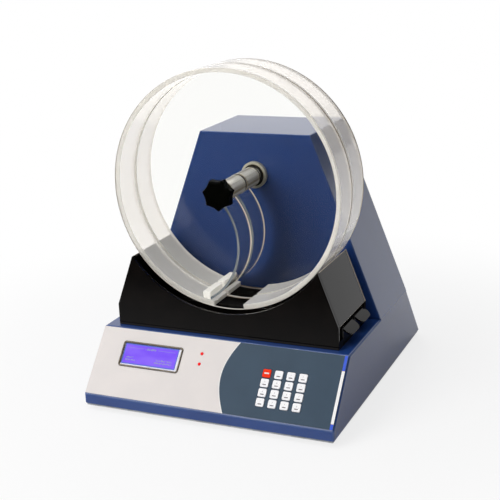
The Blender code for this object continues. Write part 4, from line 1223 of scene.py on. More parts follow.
@dataclass
class Tower(SubAssembly):
    """The tapered tower on the deck, and its vented rear cover with screws."""

    roof_width: float = 0.153
    front_y: float = -0.003
    height: float = 0.236
    bend: float = 0.0014
    weld_drop: float = 0.0025
    weld_skin: float = 0.00002
    flange: float = 0.014
    housing_hole: float = 0.0163
    cover_inset: float = 0.003
    cover_edge: float = 0.0003
    vent: tuple[float, float, float] = (0.060, 0.004, 0.010)
    vent_rise: float = 0.120
    vent_rows: int = 7
    screw_rise: float = 0.012
    screw_inset: float = 0.011
    screw_radius: float = 0.0030
    screw_height: float = 0.0016
    screw_shares: Profile = (
        (1.0, 0.0), (1.0, 0.45), (0.94, 0.72), (0.80, 0.90), (0.55, 1.0), (0.10, 1.0),
    )
    recess_shares: Point = (1.15, 0.24)

    def half_width(self, rise: float) -> float:
        """Half the tower's width at a height above the deck."""
        return (CASE_WIDTH + (self.roof_width - CASE_WIDTH) * rise / self.height) / 2

    def build(self) -> None:
        """Make the shell, the fillers of its seam, the cover and the screws."""
        self.build_shell()
        self.build_welds()
        self.build_cover()
        self.build_screws()

    def build_shell(self) -> None:
        """Make the bent shell with the housing's hole in its front."""
        deep = (self.front_y, TOWER_BACK_Y)
        loops = []
        for half, z in (
            (CASE_WIDTH / 2, DECK_Z + HAIR), (self.roof_width / 2, DECK_Z + self.height)
        ):
            corners = ((half, deep[0]), (half, deep[1]), (-half, deep[1]), (-half, deep[0]))
            loops.append(lift(corners, z))
        shell = self.keep(Piece.lofted("tower_shell", loops))
        shell.opened((0, 1, 0), self.flange).opened((0, 0, -1), self.flange)
        shell.bevelled(self.bend, FOLD_STEPS).shelled(SHEET)
        hole = Piece.rod("housing_hole", self.housing_hole, -OVERREACH, OVERREACH, 64)
        hole.moved(move(0, self.front_y, AXIS_Z) @ FRONT)
        taper = (CASE_WIDTH - self.roof_width) / 2
        slopes = (Vector((side * self.height, 0, taper)) for side in (-1, 1))
        shell.cut(hole).zoned(folded(*slopes)).softened()

    def build_welds(self) -> None:
        """Make the thin fillers in the seam between the tower's sides and the case."""
        half = CASE_WIDTH / 2
        outer = half - self.weld_skin
        corners = (
            (outer, -self.weld_drop), (outer, 0.0),
            (self.half_width(self.bend) - self.weld_skin, self.bend), (half - SHEET, 0.0),
        )
        run = TOWER_BACK_Y - self.front_y - 2 * self.bend
        for name, side in (("left", -1), ("right", 1)):
            outline = [(side * across, DECK_Z + rise) for across, rise in corners]
            weld = self.keep(Piece.sheet(f"{name}_weld", [outline], run))
            weld.moved(move(0, (TOWER_BACK_Y + self.front_y) / 2, 0) @ FRONT).softened(10)

    def build_cover(self) -> None:
        """Make the rear cover with its vents and the inlet's opening."""
        low, high = self.cover_inset, self.height - self.cover_inset
        foot, roof = (self.half_width(rise) - self.cover_inset for rise in (low, high))
        outline = [
            (-foot, DECK_Z + low), (foot, DECK_Z + low), (roof, DECK_Z + high),
            (-roof, DECK_Z + high),
        ]
        loops = [outline, MainsInlet().opening()]
        length, tall, pitch = self.vent
        for side in (-1, 1):
            for row in range(self.vent_rows):
                middle = (side * length * 0.6, DECK_Z + self.vent_rise + row * pitch)
                loops.append(rounded(length, tall, tall / 2 - 0.01 * MM, middle))
        cover = self.keep(Piece.sheet("rear_panel", loops, SHEET))
        cover.bevelled(self.cover_edge, limit=60)
        cover.moved(move(0, TOWER_BACK_Y + GAP + SHEET / 2, 0) @ FRONT).softened()

    def build_screws(self) -> None:
        """Make the six pan heads with cross recesses on the cover."""
        radius, height = self.screw_radius, self.screw_height
        long, short = (radius * share for share in self.recess_shares)
        profile = [(radius * out, height * up) for out, up in self.screw_shares]
        heads = []
        for rise in (self.screw_rise, self.height / 2, self.height - self.screw_rise):
            for side in (-1, 1):
                head = Piece.turned("screw_head", profile, 24)
                arms = (Piece.box("recess", size, (0, 0, height)) for size in (
                    (long, short, height), (short, long, height),
                ))
                across = side * (self.half_width(rise) - self.screw_inset)
                spot = move(across, TOWER_BACK_Y + GAP + SHEET, DECK_Z + rise)
                heads.append(head.cut(*arms).moved(spot @ BACK))
        self.keep(Piece.joined("cover_screws", heads)).zoned(plain).softened()

    def dress(self) -> None:
        """Paint the shell and the cover, and leave the screws bright."""
        paint = "blue_paint"
        self.hand("tower_shell", (BLUE_PAINT, BLUE_FOLD_HIGHLIGHT), Body.ROOT, paint, "tower_case")
        self.hand("rear_panel", (BLUE_PAINT,), Body.ROOT, paint, "rear_cover")
        self.hand("cover_screws", (SCREW_STEEL,), Body.ROOT, "bright_steel")
        for name in ("left_weld", "right_weld"):
            self.hand(name, (BLUE_PAINT,), Body.ROOT, paint)


@dataclass
class Console(SubAssembly):
    """The printed faceplate with its display, two lights and sixteen keys, square to the slope."""

    run: float = 0.062
    rise: float = 0.070
    foot_z: float = 0.0211
    film: float = 0.001
    margin: float = 0.0015
    film_corner: float = 0.0015
    strip: Point = (0.1616, 0.1652)
    strip_up: Point = (0.0080, 0.0730)
    strip_line: float = 0.0006
    seam: Profile = (
        (0.0246, 0.0027), (0.0134, 0.0309), (0.0115, 0.0483), (0.0161, 0.0713), (0.0273, 0.0938),
    )
    seam_line: float = 0.0012
    seam_steps: int = 40
    display: Point = (-0.0888, 0.0588)
    window: Point = (0.0805, 0.0298)
    window_corner: float = 0.0006
    rim: float = 0.002
    rim_corner: float = 0.0035
    rim_lift: float = 0.0020
    rim_shape: Profile = (
        (0.0, -0.0004), (0.0, 0.0001), (0.0003, 0.00035), (0.00085, 0.0004), (0.00135, 0.0004),
        (0.0017, 0.0003), (0.0020, 0.0), (0.0020, -0.0004),
    )
    frame_depth: Point = (0.0080, -0.0028)
    module_depth: Point = (0.0070, -0.0053)
    module_flange: float = 0.004
    frame_edge: float = 0.0003
    glass: Point = (0.0762, 0.0272)
    glass_shift: Point = (-0.0012, 0.0006)
    recess: tuple[tuple[float, float, float], ...] = (
        (0.0, 0.0004, 0.0006), (0.0008, 0.0006, 0.0020),
    )
    screen: float = 0.0002
    screen_lift: float = 0.00072
    screen_blue: Colour = (0.18, 0.052, 0.97)
    screen_ink: Colour = (0.32, 0.36, 0.50)
    light_x: float = -0.0205
    light_up: Point = (0.0580, 0.0715)
    light_radius: float = 0.0019
    lens_profile: Profile = (
        (0.0019, -0.006), (0.0019, 0.0), (0.00175, 0.00035), (0.0014, 0.0006), (0.0009, 0.00075),
        (0.0003, 0.0008),
    )
    keypad: Point = (0.0933, 0.0395)
    key_columns: int = 4
    key_pitch: Point = (0.0155, 0.01215)
    key: float = 0.0104
    key_corner: float = 0.0016
    key_proud: float = 0.0008
    key_shadow: float = 0.0010
    key_shape: Profile = (
        (0.0, -0.0050), (0.0, -0.00040), (0.00008, -0.00016), (0.00026, -0.00004),
        (0.00055, 0.0), (0.0016, -0.00003), (0.0030, -0.00008),
    )
    key_signs: tuple[str, ...] = (
        "", "-", "+", "=", "7", "8", "9", "<", "4", "5", "6", ">", "1", "2", "3", "0",
    )
    sign_size: float = 0.00266
    sign_up: float = 0.0014
    bar_alone: Point = (0.0064, 0.0019)
    bar_under: Point = (0.0046, 0.0011)
    bar_drop: float = 0.0021
    bar_corner: float = 0.0003

    def matrix(self) -> Matrix:
        """The console's frame: X to the right, Y up the slope, Z out of it."""
        lean = Matrix.Rotation(math.atan2(self.rise, self.run), 4, "X")
        return move(0, -CASE_DEPTH / 2, self.foot_z) @ lean

    def keys(self) -> Iterator[tuple[str, str, Point]]:
        """The name, the sign and the place of each key, row by row from the top left.

        Returns:
            An iterator over the sixteen keys.
        """
        middle = (self.key_columns - 1) / 2
        for index, sign in enumerate(self.key_signs):
            row, column = divmod(index, self.key_columns)
            x = self.keypad[0] + (column - middle) * self.key_pitch[0]
            up = self.keypad[1] + (middle - row) * self.key_pitch[1]
            yield f"r{row + 1}c{column + 1}", sign, (x, up)

    def openings(self, reach: float) -> list[Piece]:
        """Cutters for the case: display window, keypad and lights.

        Args:
            reach: Their depth.

        Returns:
            The cutters in the case's place.
        """
        pad = [3 * pitch + self.key + 2 * GAP for pitch in self.key_pitch]
        made = [
            Piece.box("display_cut", (*self.window, reach), (*self.display, 0)),
            Piece.box("keypad_cut", (*pad, reach), (*self.keypad, 0)),
        ]
        for up in self.light_up:
            hole = Piece.rod("light_cut", self.light_radius + GAP, -reach / 2, reach / 2, 24)
            made.append(hole.moved(move(self.light_x, up, 0)))
        return [piece.moved(self.matrix()) for piece in made]

    def build(self) -> None:
        """Make the faceplate, display, lights and keys."""
        self.build_faceplate()
        self.build_display()
        for name, up in zip(("lower", "upper"), self.light_up):
            lens = self.keep(Piece.turned(f"light_lens_{name}", self.lens_profile, 32))
            lens.softened(50).framed(self.matrix() @ move(self.light_x, up, GAP + self.film))
        for name, sign, middle in self.keys():
            self.build_key(name, sign, middle)

    def seam_x(self, up: float) -> float:
        """Where the light field ends at a height on the slope.

        Args:
            up: The height on the slope.

        Returns:
            The seam's X, on the one curve through its points.
        """
        total = 0.0
        for x, own in self.seam:
            weight = 1.0
            for _, other in self.seam:
                if other != own:
                    weight *= (up - other) / (own - other)
            total += x * weight
        return total

    def key_rings(self, spot: Point) -> Iterator[tuple[float, float, float, Point]]:
        """A key's hole in the film and the ring of painted shadow round it."""
        for more in (GAP, self.key_shadow):
            yield self.key + 2 * more, self.key + 2 * more, self.key_corner + more, spot

    def film_outline(self) -> tuple[float, float, float, Point]:
        """The film's outline, in the form that rounded takes.

        Returns:
            Its width, height, corner and middle.
        """
        length = math.hypot(self.run, self.rise)
        size = (CASE_WIDTH - 2 * self.margin, length - 2 * self.margin)
        return *size, self.film_corner, (0.0, length / 2)

    def build_faceplate(self) -> None:
        """Make the film as one sheet whose print follows its own edges."""
        outline = self.film_outline()
        loops = [rounded(*outline), rounded(*self.window, self.window_corner, self.display)]
        loops += [circle(self.light_radius + GAP, 24, (self.light_x, up)) for up in self.light_up]
        for _, _, spot in self.keys():
            loops += [rounded(*ring) for ring in self.key_rings(spot)]
        steps = range(self.seam_steps + 1)
        ups = [outline[1] * step / self.seam_steps + self.margin for step in steps]
        lines = [
            [(self.seam_x(up) + side * self.seam_line, up) for up in ups] for side in (-0.5, 0.5)
        ]
        (left, right), (low, high) = self.strip, self.strip_up
        lines += [[(x, ups[0]), (x, ups[-1])] for x in (left, right)]
        for up in (low, low + self.strip_line, high - self.strip_line, high):
            lines.append([(left, up), (right, up)])
        points, edges = [], []
        for closed, rows in ((True, loops), (False, lines)):
            for row in rows:
                first = len(points)
                points += [Vector(point) for point in row]
                edges += [(i, i + 1) for i in range(first, len(points) - 1)]
                if closed:
                    edges.append((len(points) - 1, first))
        spots, _, faces, *_ = delaunay_2d_cdt(points, edges, [], 0, 1e-7)
        work = bmesh.new()
        verts = [work.verts.new((*spot, 0.0)) for spot in spots]
        for corners in faces:
            centre = [sum(spots[i][axis] for i in corners) / len(corners) for axis in range(2)]
            ink = self.ink_at(tuple(centre))
            if ink is not None:
                work.faces.new([verts[i] for i in corners]).material_index = ink
        bmesh.ops.delete(work, geom=[v for v in work.verts if not v.link_faces], context="VERTS")
        plate = self.keep(Piece("faceplate", work))
        if plate.obj.data.polygons[0].normal.z < 0:
            plate.obj.data.flip_normals()
        plate.shelled(self.film).framed(self.matrix() @ move(0, 0, GAP + self.film))

    def ink_at(self, spot: Point) -> Ink | None:
        """The ink at a place on the film.

        Args:
            spot: The place.

        Returns:
            The ink, or None where the film has a hole or ends.
        """
        if not inside_rounded(spot, *self.film_outline()):
            return None
        if inside_rounded(spot, *self.window, self.window_corner, self.display):
            return None
        for up in self.light_up:
            if math.dist(spot, (self.light_x, up)) < self.light_radius + GAP:
                return None
        for _, _, key in self.keys():
            hole, ring = self.key_rings(key)
            if inside_rounded(spot, *ring):
                return None if inside_rounded(spot, *hole) else Ink.SHADOW
        x, up = spot
        low, high = self.strip_up
        if self.strip[0] < x < self.strip[1]:
            if not low < up < high:
                # Bright blue here is a painted highlight.
                return Ink.BLUE
            return Ink.STRIP if low + self.strip_line < up < high - self.strip_line else Ink.PEACH
        off = x - self.seam_x(up)
        if off < -self.seam_line / 2:
            return Ink.WARM
        return Ink.LINE if off < self.seam_line / 2 else Ink.SLATE

    def build_display(self) -> None:
        """Make the rim, the metal frame and the lit screen."""
        loops = []
        for inset, up in self.rim_shape:
            size = (side + 2 * (self.rim - inset) for side in self.window)
            loops.append(lift(rounded(*size, self.rim_corner - inset, steps=8), up))
        rim = self.keep(Piece.lofted("display_rim", loops, True))
        # The rim's flat top face gets the painted highlight.
        rim.zoned(lambda spot, normal: int(normal.z > 0.9995)).softened()
        rim.framed(self.matrix() @ move(*self.display, self.rim_lift))

        (thick, middle), (deep, low) = self.frame_depth, self.module_depth
        size = [side - 2 * GAP for side in self.window]
        wide = (side + 2 * self.module_flange for side in size)
        body = self.keep(Piece.box("display_frame", (*size, thick), (0, 0, middle)))
        back = Piece.box("module_back", (*wide, deep), (0, 0, low)).bevelled(self.frame_edge)
        loops = []
        for wider, corner, up in self.recess:
            size = (side + wider for side in self.glass)
            loops.append(lift(rounded(*size, corner, self.glass_shift, 2), up))
        body.bevelled(self.frame_edge).cut(back, way=Cut.TOGETHER)
        body.cut(Piece.lofted("screen_recess", loops)).softened()
        body.framed(self.matrix() @ move(*self.display, 0))

        size = (*(side - self.screen for side in self.glass), self.screen)
        spot = (middle + shift for middle, shift in zip(self.display, self.glass_shift))
        screen = self.keep(Piece.box("display_screen", size))
        screen.framed(self.matrix() @ move(*spot, self.screen_lift))

    def build_key(self, place: str, sign: str, middle: Point) -> None:
        """Make one key with its sign and its bar.

        Args:
            place: Its row and column.
            sign: Its sign, or nothing.
            middle: Its place on the slope.
        """
        loops = []
        for inset, height in self.key_shape:
            side, corner = self.key - 2 * inset, max(self.key_corner - inset * 0.5, 0.4 * MM)
            loops.append(lift(rounded(side, side, corner), height))
        name = f"key_cap_{place}"
        parts = [Piece.lofted(name + "_cap", loops)]
        bar, drop = (self.bar_under, self.bar_drop) if sign else (self.bar_alone, 0.0)
        if sign:
            figure = Piece.lettered(name + "_sign", sign, self.sign_size, HAIR)
            parts.append(figure.moved(move(0, self.sign_up, -HAIR)))
        dash = Piece.sheet(name + "_bar", [rounded(*bar, self.bar_corner)], HAIR)
        parts.append(dash.moved(move(0, -drop, -HAIR)))
        cap = self.keep(Piece.joined(name, parts)).softened(40)
        cap.framed(self.matrix() @ move(*middle, GAP + self.film + self.key_proud))

    def dress(self) -> None:
        """Print the film, light the display and colour the keys."""
        violet = "display_violet"
        screen = DotScreen("dot_screen", self.screen_blue, self.screen_ink, *self.glass)
        self.hand("faceplate", [PRINT[ink] for ink in Ink], Body.ROOT, "overlay_film",
                  "console_overlay")
        self.hand("display_rim", (RIM_BROWN, RIM_TAN_HIGHLIGHT), Body.ROOT, "black_plastic", "display_bezel")
        self.hand("display_frame", (SCREEN_FRAME,), Body.ROOT, violet, "display_module")
        self.hand("display_screen", (screen,), Body.ROOT, violet)
        for name in ("lower", "upper"):
            lens, node = f"light_lens_{name}", f"status_light_{name}"
            self.hand(lens, (LENS_RED,), Body.ROOT, "light_red", node)
        for index, (place, _, _) in enumerate(self.keys()):
            looks = (KEY_WHITE, INK_PALE, INK_DARK) if index else (KEY_RED, INK_WHITE)
            slot = "key_white" if index else "key_red"
            self.hand(f"key_cap_{place}", looks, f"key_{place}", slot, f"key_{place}")


@dataclass
class Drum(SubAssembly):
    """One clear drum: lid, wall with its window, lifting arm, back disc and bright hub."""

    name: str = "front"
    setback: float = SHAFT_SETBACK
    chamber: float = 0.144
    wall: float = 0.006
    depth: float = 0.038
    disc: float = 0.003
    hub: float = 0.0125
    bore: float = 0.0063
    groove: float = 0.0015
    groove_depth: float = 0.0008
    hub_edge: float = 0.0003
    bond: float = 0.0005
    arm_radius: float = 0.0805
    arm: float = 0.003
    arm_turn: float = -134.0
    arm_short: float = 4.0
    foot_width: float = 0.010
    foot_reach: float = 0.010
    foot_shift: float = 0.0036
    foot_edge: float = 0.0004
    window: float = 0.040
    wall_edge: float = 0.00025
    edge: float = 0.0004

    @property
    def outer(self) -> float:
        """The drum's outside radius."""
        return self.chamber + self.wall

    def build(self) -> None:
        """Make the five parts of the drum and the block at its arm's end."""
        place = axis_frame(self.setback)
        for part, front in (("lid_disc", 0.0), ("back_disc", -self.disc - self.depth)):
            hole, back = self.hub + GAP, front - self.disc
            profile = [
                (hole, front), (self.outer - self.edge, front), (self.outer, front - self.edge),
                (self.outer, back + self.edge), (self.outer - self.edge, back), (hole, back),
            ]
            disc = self.keep(Piece.turned(f"{self.name}_{part}", profile, 192, True))
            disc.zoned(self.disc_zone).softened(25).framed(place)

        gap = math.asin(self.window / 2 / (self.chamber + self.wall / 2))
        start, end = -math.pi / 2 + gap, 1.5 * math.pi - gap
        outline = arc(self.outer, start, end, 180) + arc(self.chamber, end, start, 180)
        near, far = -self.disc - HAIR, -self.disc - self.depth + HAIR
        loops = [lift(outline, far), lift(outline, near)]
        ring = self.keep(Piece.lofted(f"{self.name}_wall_ring", loops))
        ring.bevelled(self.wall_edge, limit=60).zoned(self.wall_zone).softened(25).framed(place)

        self.build_arm(near - GAP, far + GAP)
        sleeve = self.keep(Piece.turned(f"{self.name}_hub_sleeve", self.sleeve(), 96, True))
        sleeve.zoned(self.sleeve_zone).softened(30).framed(place)

    def sleeve(self) -> Loop:
        """The hub's profile, with a groove behind the lid and one before the back disc.

        Returns:
            Its radii and heights, from the front to the back.
        """
        soft, length = self.hub_edge, 2 * self.disc + self.depth
        eased, waist = self.hub - soft, self.hub - self.groove_depth
        first = -self.disc - self.groove
        last = first - self.groove
        half = [
            (self.bore, 0.0), (eased, 0.0), (self.hub, -soft), (self.hub, first + soft),
            (eased, first), (waist, first), (waist, last), (eased, last), (self.hub, last - soft),
        ]
        return half + [(radius, -length - height) for radius, height in reversed(half)]

    def disc_zone(self, spot: Vector, normal: Vector) -> int:
        """A disc's slots: 0 its faces, 1 its rim, 2 the bond round the hub."""
        reach = math.hypot(spot.x, spot.y)
        return 2 if reach < self.hub + self.bond else int(reach > self.outer - self.edge)

    def wall_zone(self, spot: Vector, normal: Vector) -> int:
        """The wall's slots: 0 its scuffed inside with a painted glow, 1 its cut edges in painted
        glow, 2 its outside.
        """
        outward = normal.dot(Vector((spot.x, spot.y, 0)).normalized())
        return 2 if outward > 0.9 else int(outward > -0.9)

    def sleeve_zone(self, spot: Vector, normal: Vector) -> int:
        """The sleeve's slots: 0 its skin, 1 its two grooves, which get painted shade."""
        low, high = self.bore + MM, self.hub - self.groove_depth / 2
        return int(low < math.hypot(spot.x, spot.y) < high and abs(normal.z) < 0.9)

    def arm_zone(self, spot: Vector, normal: Vector) -> int:
        """The arm's slots: 0 its faces, 1 its front edge, 2 its back edge."""
        return 0 if abs(normal.z) < 0.7 else (1 if normal.z > 0 else 2)

    def arm_line(self) -> tuple[Point, float, float]:
        """Centre of the arm's arc, and its angles at the hub and near the wall.

        Returns:
            The centre, the first angle and the last.
        """
        middle = self.arm_radius + self.arm / 2
        reach = self.hub + middle
        turn = math.radians(self.arm_turn)
        centre = (reach * math.cos(turn), reach * math.sin(turn))
        cosine = (reach**2 + middle**2 - self.chamber**2) / (2 * reach * middle)
        end = turn + math.pi - math.acos(cosine) - math.radians(self.arm_short)
        return centre, turn + math.pi, end

    def build_arm(self, near: float, far: float) -> None:
        """Make the curved arm and the frosted block at its end.

        Args:
            near: The front of the room that they have.
            far: Its back.
        """
        centre, start, end = self.arm_line()
        outline = arc(self.arm_radius + self.arm, start, end, 72, centre)
        outline += arc(self.arm_radius, end, start, 72, centre)
        loops = [lift(outline, far), lift(outline, near)]
        arm = self.keep(Piece.lofted(f"{self.name}_lift_arm", loops))
        x = centre[0] + (self.arm_radius + self.arm / 2) * math.cos(end) + self.foot_shift
        spot = (x, -math.sqrt(self.chamber**2 - x**2), (near + far) / 2)
        size = (self.foot_width, 2 * self.foot_reach, near - far)
        ends = (far - OVERREACH, near + OVERREACH)
        core = Piece.rod("arm_core", self.hub + GAP, *ends, 96)
        room = (size[0] + 2 * HAIR, size[1] + 2 * HAIR, size[2] + OVERREACH)
        arm.cut(self.chamber_room(*ends), way=Cut.WITHIN)
        arm.cut(core, Piece.box("block_clearance", room, spot))
        arm.zoned(self.arm_zone).softened(25).framed(axis_frame(self.setback))
        block = self.keep(Piece.box(f"{self.name}_arm_block", size, spot))
        block.cut(self.chamber_room(*ends), way=Cut.WITHIN).bevelled(self.foot_edge)
        block.softened().framed(axis_frame(self.setback))

    def chamber_room(self, low: float, high: float) -> Piece:
        """The room inside the wall, for cutting with."""
        return Piece.rod("chamber_room", self.chamber - GAP, low, high, 360)

    def dress(self) -> None:
        """Clear discs, scuffed wall, arm and chrome hub; rims, edges and bonds carry painted glow
        and painted shade, and the grooves painted shade.
        """
        clear = "clear_acrylic"
        rows = (
            ("lid_disc", (CLEAR_DISC, EDGE_CREAM_GLOW, BOND_LIT), clear, ("lid",)),
            ("back_disc", (CLEAR_DISC, EDGE_TAN_SHADE, BOND_SHADE), clear, ("back",)),
            ("wall_ring", (SCUFFED_GLOWING_WALL, EDGE_CREAM_GLOW, OUTER_WALL), clear, ("wall",)),
            ("lift_arm", (CLEAR_ARM, EDGE_DIM_SHADE, EDGE_PEACH_GLOW), clear, ("arm",)),
            ("arm_block", (BLOCK_FROST_GLOW,), clear, ()),
            ("hub_sleeve", (CHROME, GROOVE_SHADE), "bright_steel", ("hub",)),
        )
        for part, looks, slot, ends in rows:
            nodes = [f"{self.name}_drum_{end}" for end in ends]
            self.hand(f"{self.name}_{part}", looks, Body.DRUMS, slot, *nodes)


@dataclass
class ShaftLine(SubAssembly):
    """Shaft, star knob, flange and seal."""

    shaft_profile: Profile = (
        (0.0037, 0.0182), (0.0040, 0.0179), (0.0040, 0.0), (0.0060, 0.0), (0.0060, -0.0886),
        (0.0102, -0.0886), (0.0105, -0.0889), (0.0105, -0.0946), (0.0102, -0.0949),
        (0.0060, -0.0949), (0.0060, -0.1850), (0.0057, -0.1853),
    )
    knob: float = 0.020
    knob_turn: float = -22.7
    knob_thickness: float = 0.014
    knob_edge: Profile = (
        (0.0045, 0.0), (0.0024, 0.0), (0.0012, -0.0004), (0.0004, -0.0012), (0.0, -0.0026),
    )
    flute: float = 0.0034
    flute_power: float = 0.8
    lobes: int = 7
    lobe_steps: int = 14
    collar_profile: Profile = (
        (0.0142, 0.0048), (0.0140, 0.0038), (0.0130, 0.0035), (0.0130, 0.0027), (0.0140, 0.0024),
        (0.0140, 0.0007), (0.0136, 0.0003), (0.0043, 0.0003), (0.0043, 0.0185),
    )
    flange_setback: float = 0.186
    flange_profile: Profile = (
        (0.0066, 0.0003), (0.0172, 0.0003), (0.0175, 0.0006), (0.0175, 0.0046), (0.0171, 0.0054),
        (0.0163, 0.0058), (0.0142, 0.0058), (0.0138, 0.0053), (0.0124, 0.0053), (0.0118, 0.0048),
        (0.0118, 0.0028), (0.0066, 0.0028),
    )
    flange_groove: float = 0.0141
    seal_profile: Profile = (
        (0.0063, 0.0031), (0.0115, 0.0031), (0.0115, 0.0052), (0.0111, 0.0055), (0.0097, 0.0055),
        (0.0091, 0.0049), (0.0074, 0.0048), (0.0069, 0.0054), (0.0063, 0.0052),
    )

    def star(self, inset: float) -> Loop:
        """The knob's outline, drawn in by an inset.

        Args:
            inset: How far it is drawn in.

        Returns:
            Its points.
        """
        points = []
        steps = self.lobes * self.lobe_steps
        for step in range(steps):
            share = step % self.lobe_steps / self.lobe_steps
            flute = self.flute * math.sin(math.pi * share) ** self.flute_power
            radius = self.knob - inset - flute
            angle = 2 * math.pi * step / steps + math.pi / 2
            points.append((radius * math.cos(angle), radius * math.sin(angle)))
        return points

    def build(self) -> None:
        """Make the turned parts and the knob."""
        place, nose = axis_frame(SHAFT_SETBACK), axis_frame(self.flange_setback)
        self.keep(Piece.turned("shaft_turned", self.shaft_profile, 64)).softened(30).framed(place)

        rear = self.collar_profile[0][1]
        loops = [
            lift(self.star(inset), rear + self.knob_thickness + drop)
            for inset, drop in self.knob_edge
        ]
        loops += [lift(self.star(inset), rear - drop) for inset, drop in self.knob_edge[:0:-1]]
        turn = Matrix.Rotation(math.pi / 2, 4, "Z")
        for radius, height in self.collar_profile:
            ring = lift(circle(radius, self.lobes * self.lobe_steps), height)
            loops.append([turn @ Vector(point) for point in ring])
        lobes = Matrix.Rotation(math.radians(self.knob_turn), 4, "Z")
        self.keep(Piece.lofted("clamp_knob", loops)).softened(28).framed(place @ lobes)

        flange = self.keep(Piece.turned("mount_flange", self.flange_profile, 96, True))
        # The flange's inner ring, inside the groove's radius, gets painted shade.
        flange.zoned(lambda spot, normal: int(math.hypot(spot.x, spot.y) < self.flange_groove))
        flange.softened(30).framed(nose)
        seal = self.keep(Piece.turned("lip_seal", self.seal_profile, 64, True))
        seal.softened(30).framed(nose)

    def dress(self) -> None:
        """Chrome shaft, black knob, nickel flange and rubber seal."""
        for row in (
            ("shaft_turned", (CHROME,), Body.DRUMS, "bright_steel", "drum_shaft"),
            ("clamp_knob", (KNOB_BLACK,), Body.KNOB, "black_plastic", "star_knob"),
            ("mount_flange", (SATIN_NICKEL, GROOVE_SHADE), Body.ROOT, "nickel", "bearing_flange"),
            ("lip_seal", (BLACK_RUBBER,), Body.ROOT, "black_rubber", "shaft_seal"),
        ):
            self.hand(*row)


@dataclass
class Chute(SubAssembly):
    """The black chute: front and rear panels with round cut-outs, and two side plates."""

    front: float = 0.071
    back: float = 0.177
    panel: float = 0.004
    panel_edge: float = 0.00035
    side: float = 0.003
    side_edge: float = 0.0005
    half_width: float = 0.150
    top_half_width: float = 0.125
    knee: float = 0.028
    rise: float = 0.094
    cutout: float = 0.152
    swing: float = 0.060

    def heights(self) -> tuple[float, float, float]:
        """The heights of the foot, the knee and the top from the shaft's axis."""
        return tuple(DECK_Z + up - AXIS_Z for up in (GAP, self.knee, self.rise))

    def outline(self) -> Loop:
        """A panel's outline about the shaft's axis.

        Returns:
            Its points in order.
        """
        foot, knee, top = self.heights()
        half = math.acos(-top / self.cutout)
        start = -math.pi / 2 - half
        right = [(self.top_half_width, top), (self.half_width, knee), (self.half_width, foot)]
        return arc(self.cutout, start, start + 2 * half, 120) + right + mirrored(right)

    def build(self) -> None:
        """Make the two panels and the two side plates."""
        for name, setback in (("front", self.front), ("rear", self.back - self.panel)):
            skin = self.keep(Piece.sheet(f"{name}_chute_skin", [self.outline()], self.panel))
            skin.bevelled(self.panel_edge, limit=45).zoned(self.rim_zone).softened()
            skin.framed(axis_frame(setback) @ move(0, 0, -self.panel / 2))

        foot, knee, rise = self.heights()
        run = self.half_width - self.top_half_width
        across = self.side / math.sin(math.atan2(self.rise - self.knee, run))
        high, low = self.top_half_width, self.half_width
        outlines = {
            "right": [(low, knee), (high, rise), (high - across, rise), (low - across, knee)],
            "left": [
                (-low, foot), (-low + self.side, foot), (-low + across, knee),
                (-high + across, rise), (-high, rise), (-low, knee),
            ],
        }
        for name, outline in outlines.items():
            length = self.back - self.front - 2 * (self.panel + GAP)
            plate = self.keep(Piece.sheet(f"{name}_chute_side", [outline], length))
            plate.cut(Piece.rod("drum_swing", self.cutout, -self.swing, self.swing, 240))
            out = Vector((self.rise - self.knee, run, 0)).normalized()
            out.x = math.copysign(out.x, outline[1][0])
            plate.bevelled(self.side_edge, limit=40).zoned(self.bevel_zone(out, knee)).softened()
            plate.framed(axis_frame((self.front + self.back) / 2))

    def rim_zone(self, spot: Vector, normal: Vector) -> int:
        """A panel's slots: 0 its faces and upright ends, 1 its rim, which gets a painted highlight.
        """
        return int(abs(normal.z) < 0.3 and abs(normal.x) < 0.97)

    def bevel_zone(self, out: Vector, knee: float) -> Callable[[Vector, Vector], int]:
        """A side plate's slots: 0 its faces, 1 the long bevels of its sloping part.

        Args:
            out: The way that the sloping part looks.
            knee: The height at which it starts.

        Returns:
            A zone function of a face's middle and normal.
        """
        return lambda spot, normal: int(
            spot.y > knee and 0.3 < normal.dot(out) < 0.97 and abs(normal.z) < 0.3
        )

    def dress(self) -> None:
        """Black gloss on every plate, and a painted highlight on the rims of all but the front
        panel.
        """
        rows = (
            ("front_chute_skin", BLACK_SHEET, "chute_front_panel"),
            ("rear_chute_skin", EDGE_HIGHLIGHT, "chute_rear_panel"),
            ("left_chute_side", EDGE_HIGHLIGHT, "chute_left_plate"),
            ("right_chute_side", EDGE_HIGHLIGHT, "chute_right_plate"),
        )
        for name, rim, node in rows:
            self.hand(name, (BLACK_SHEET, rim), Body.ROOT, "black_acrylic", node)


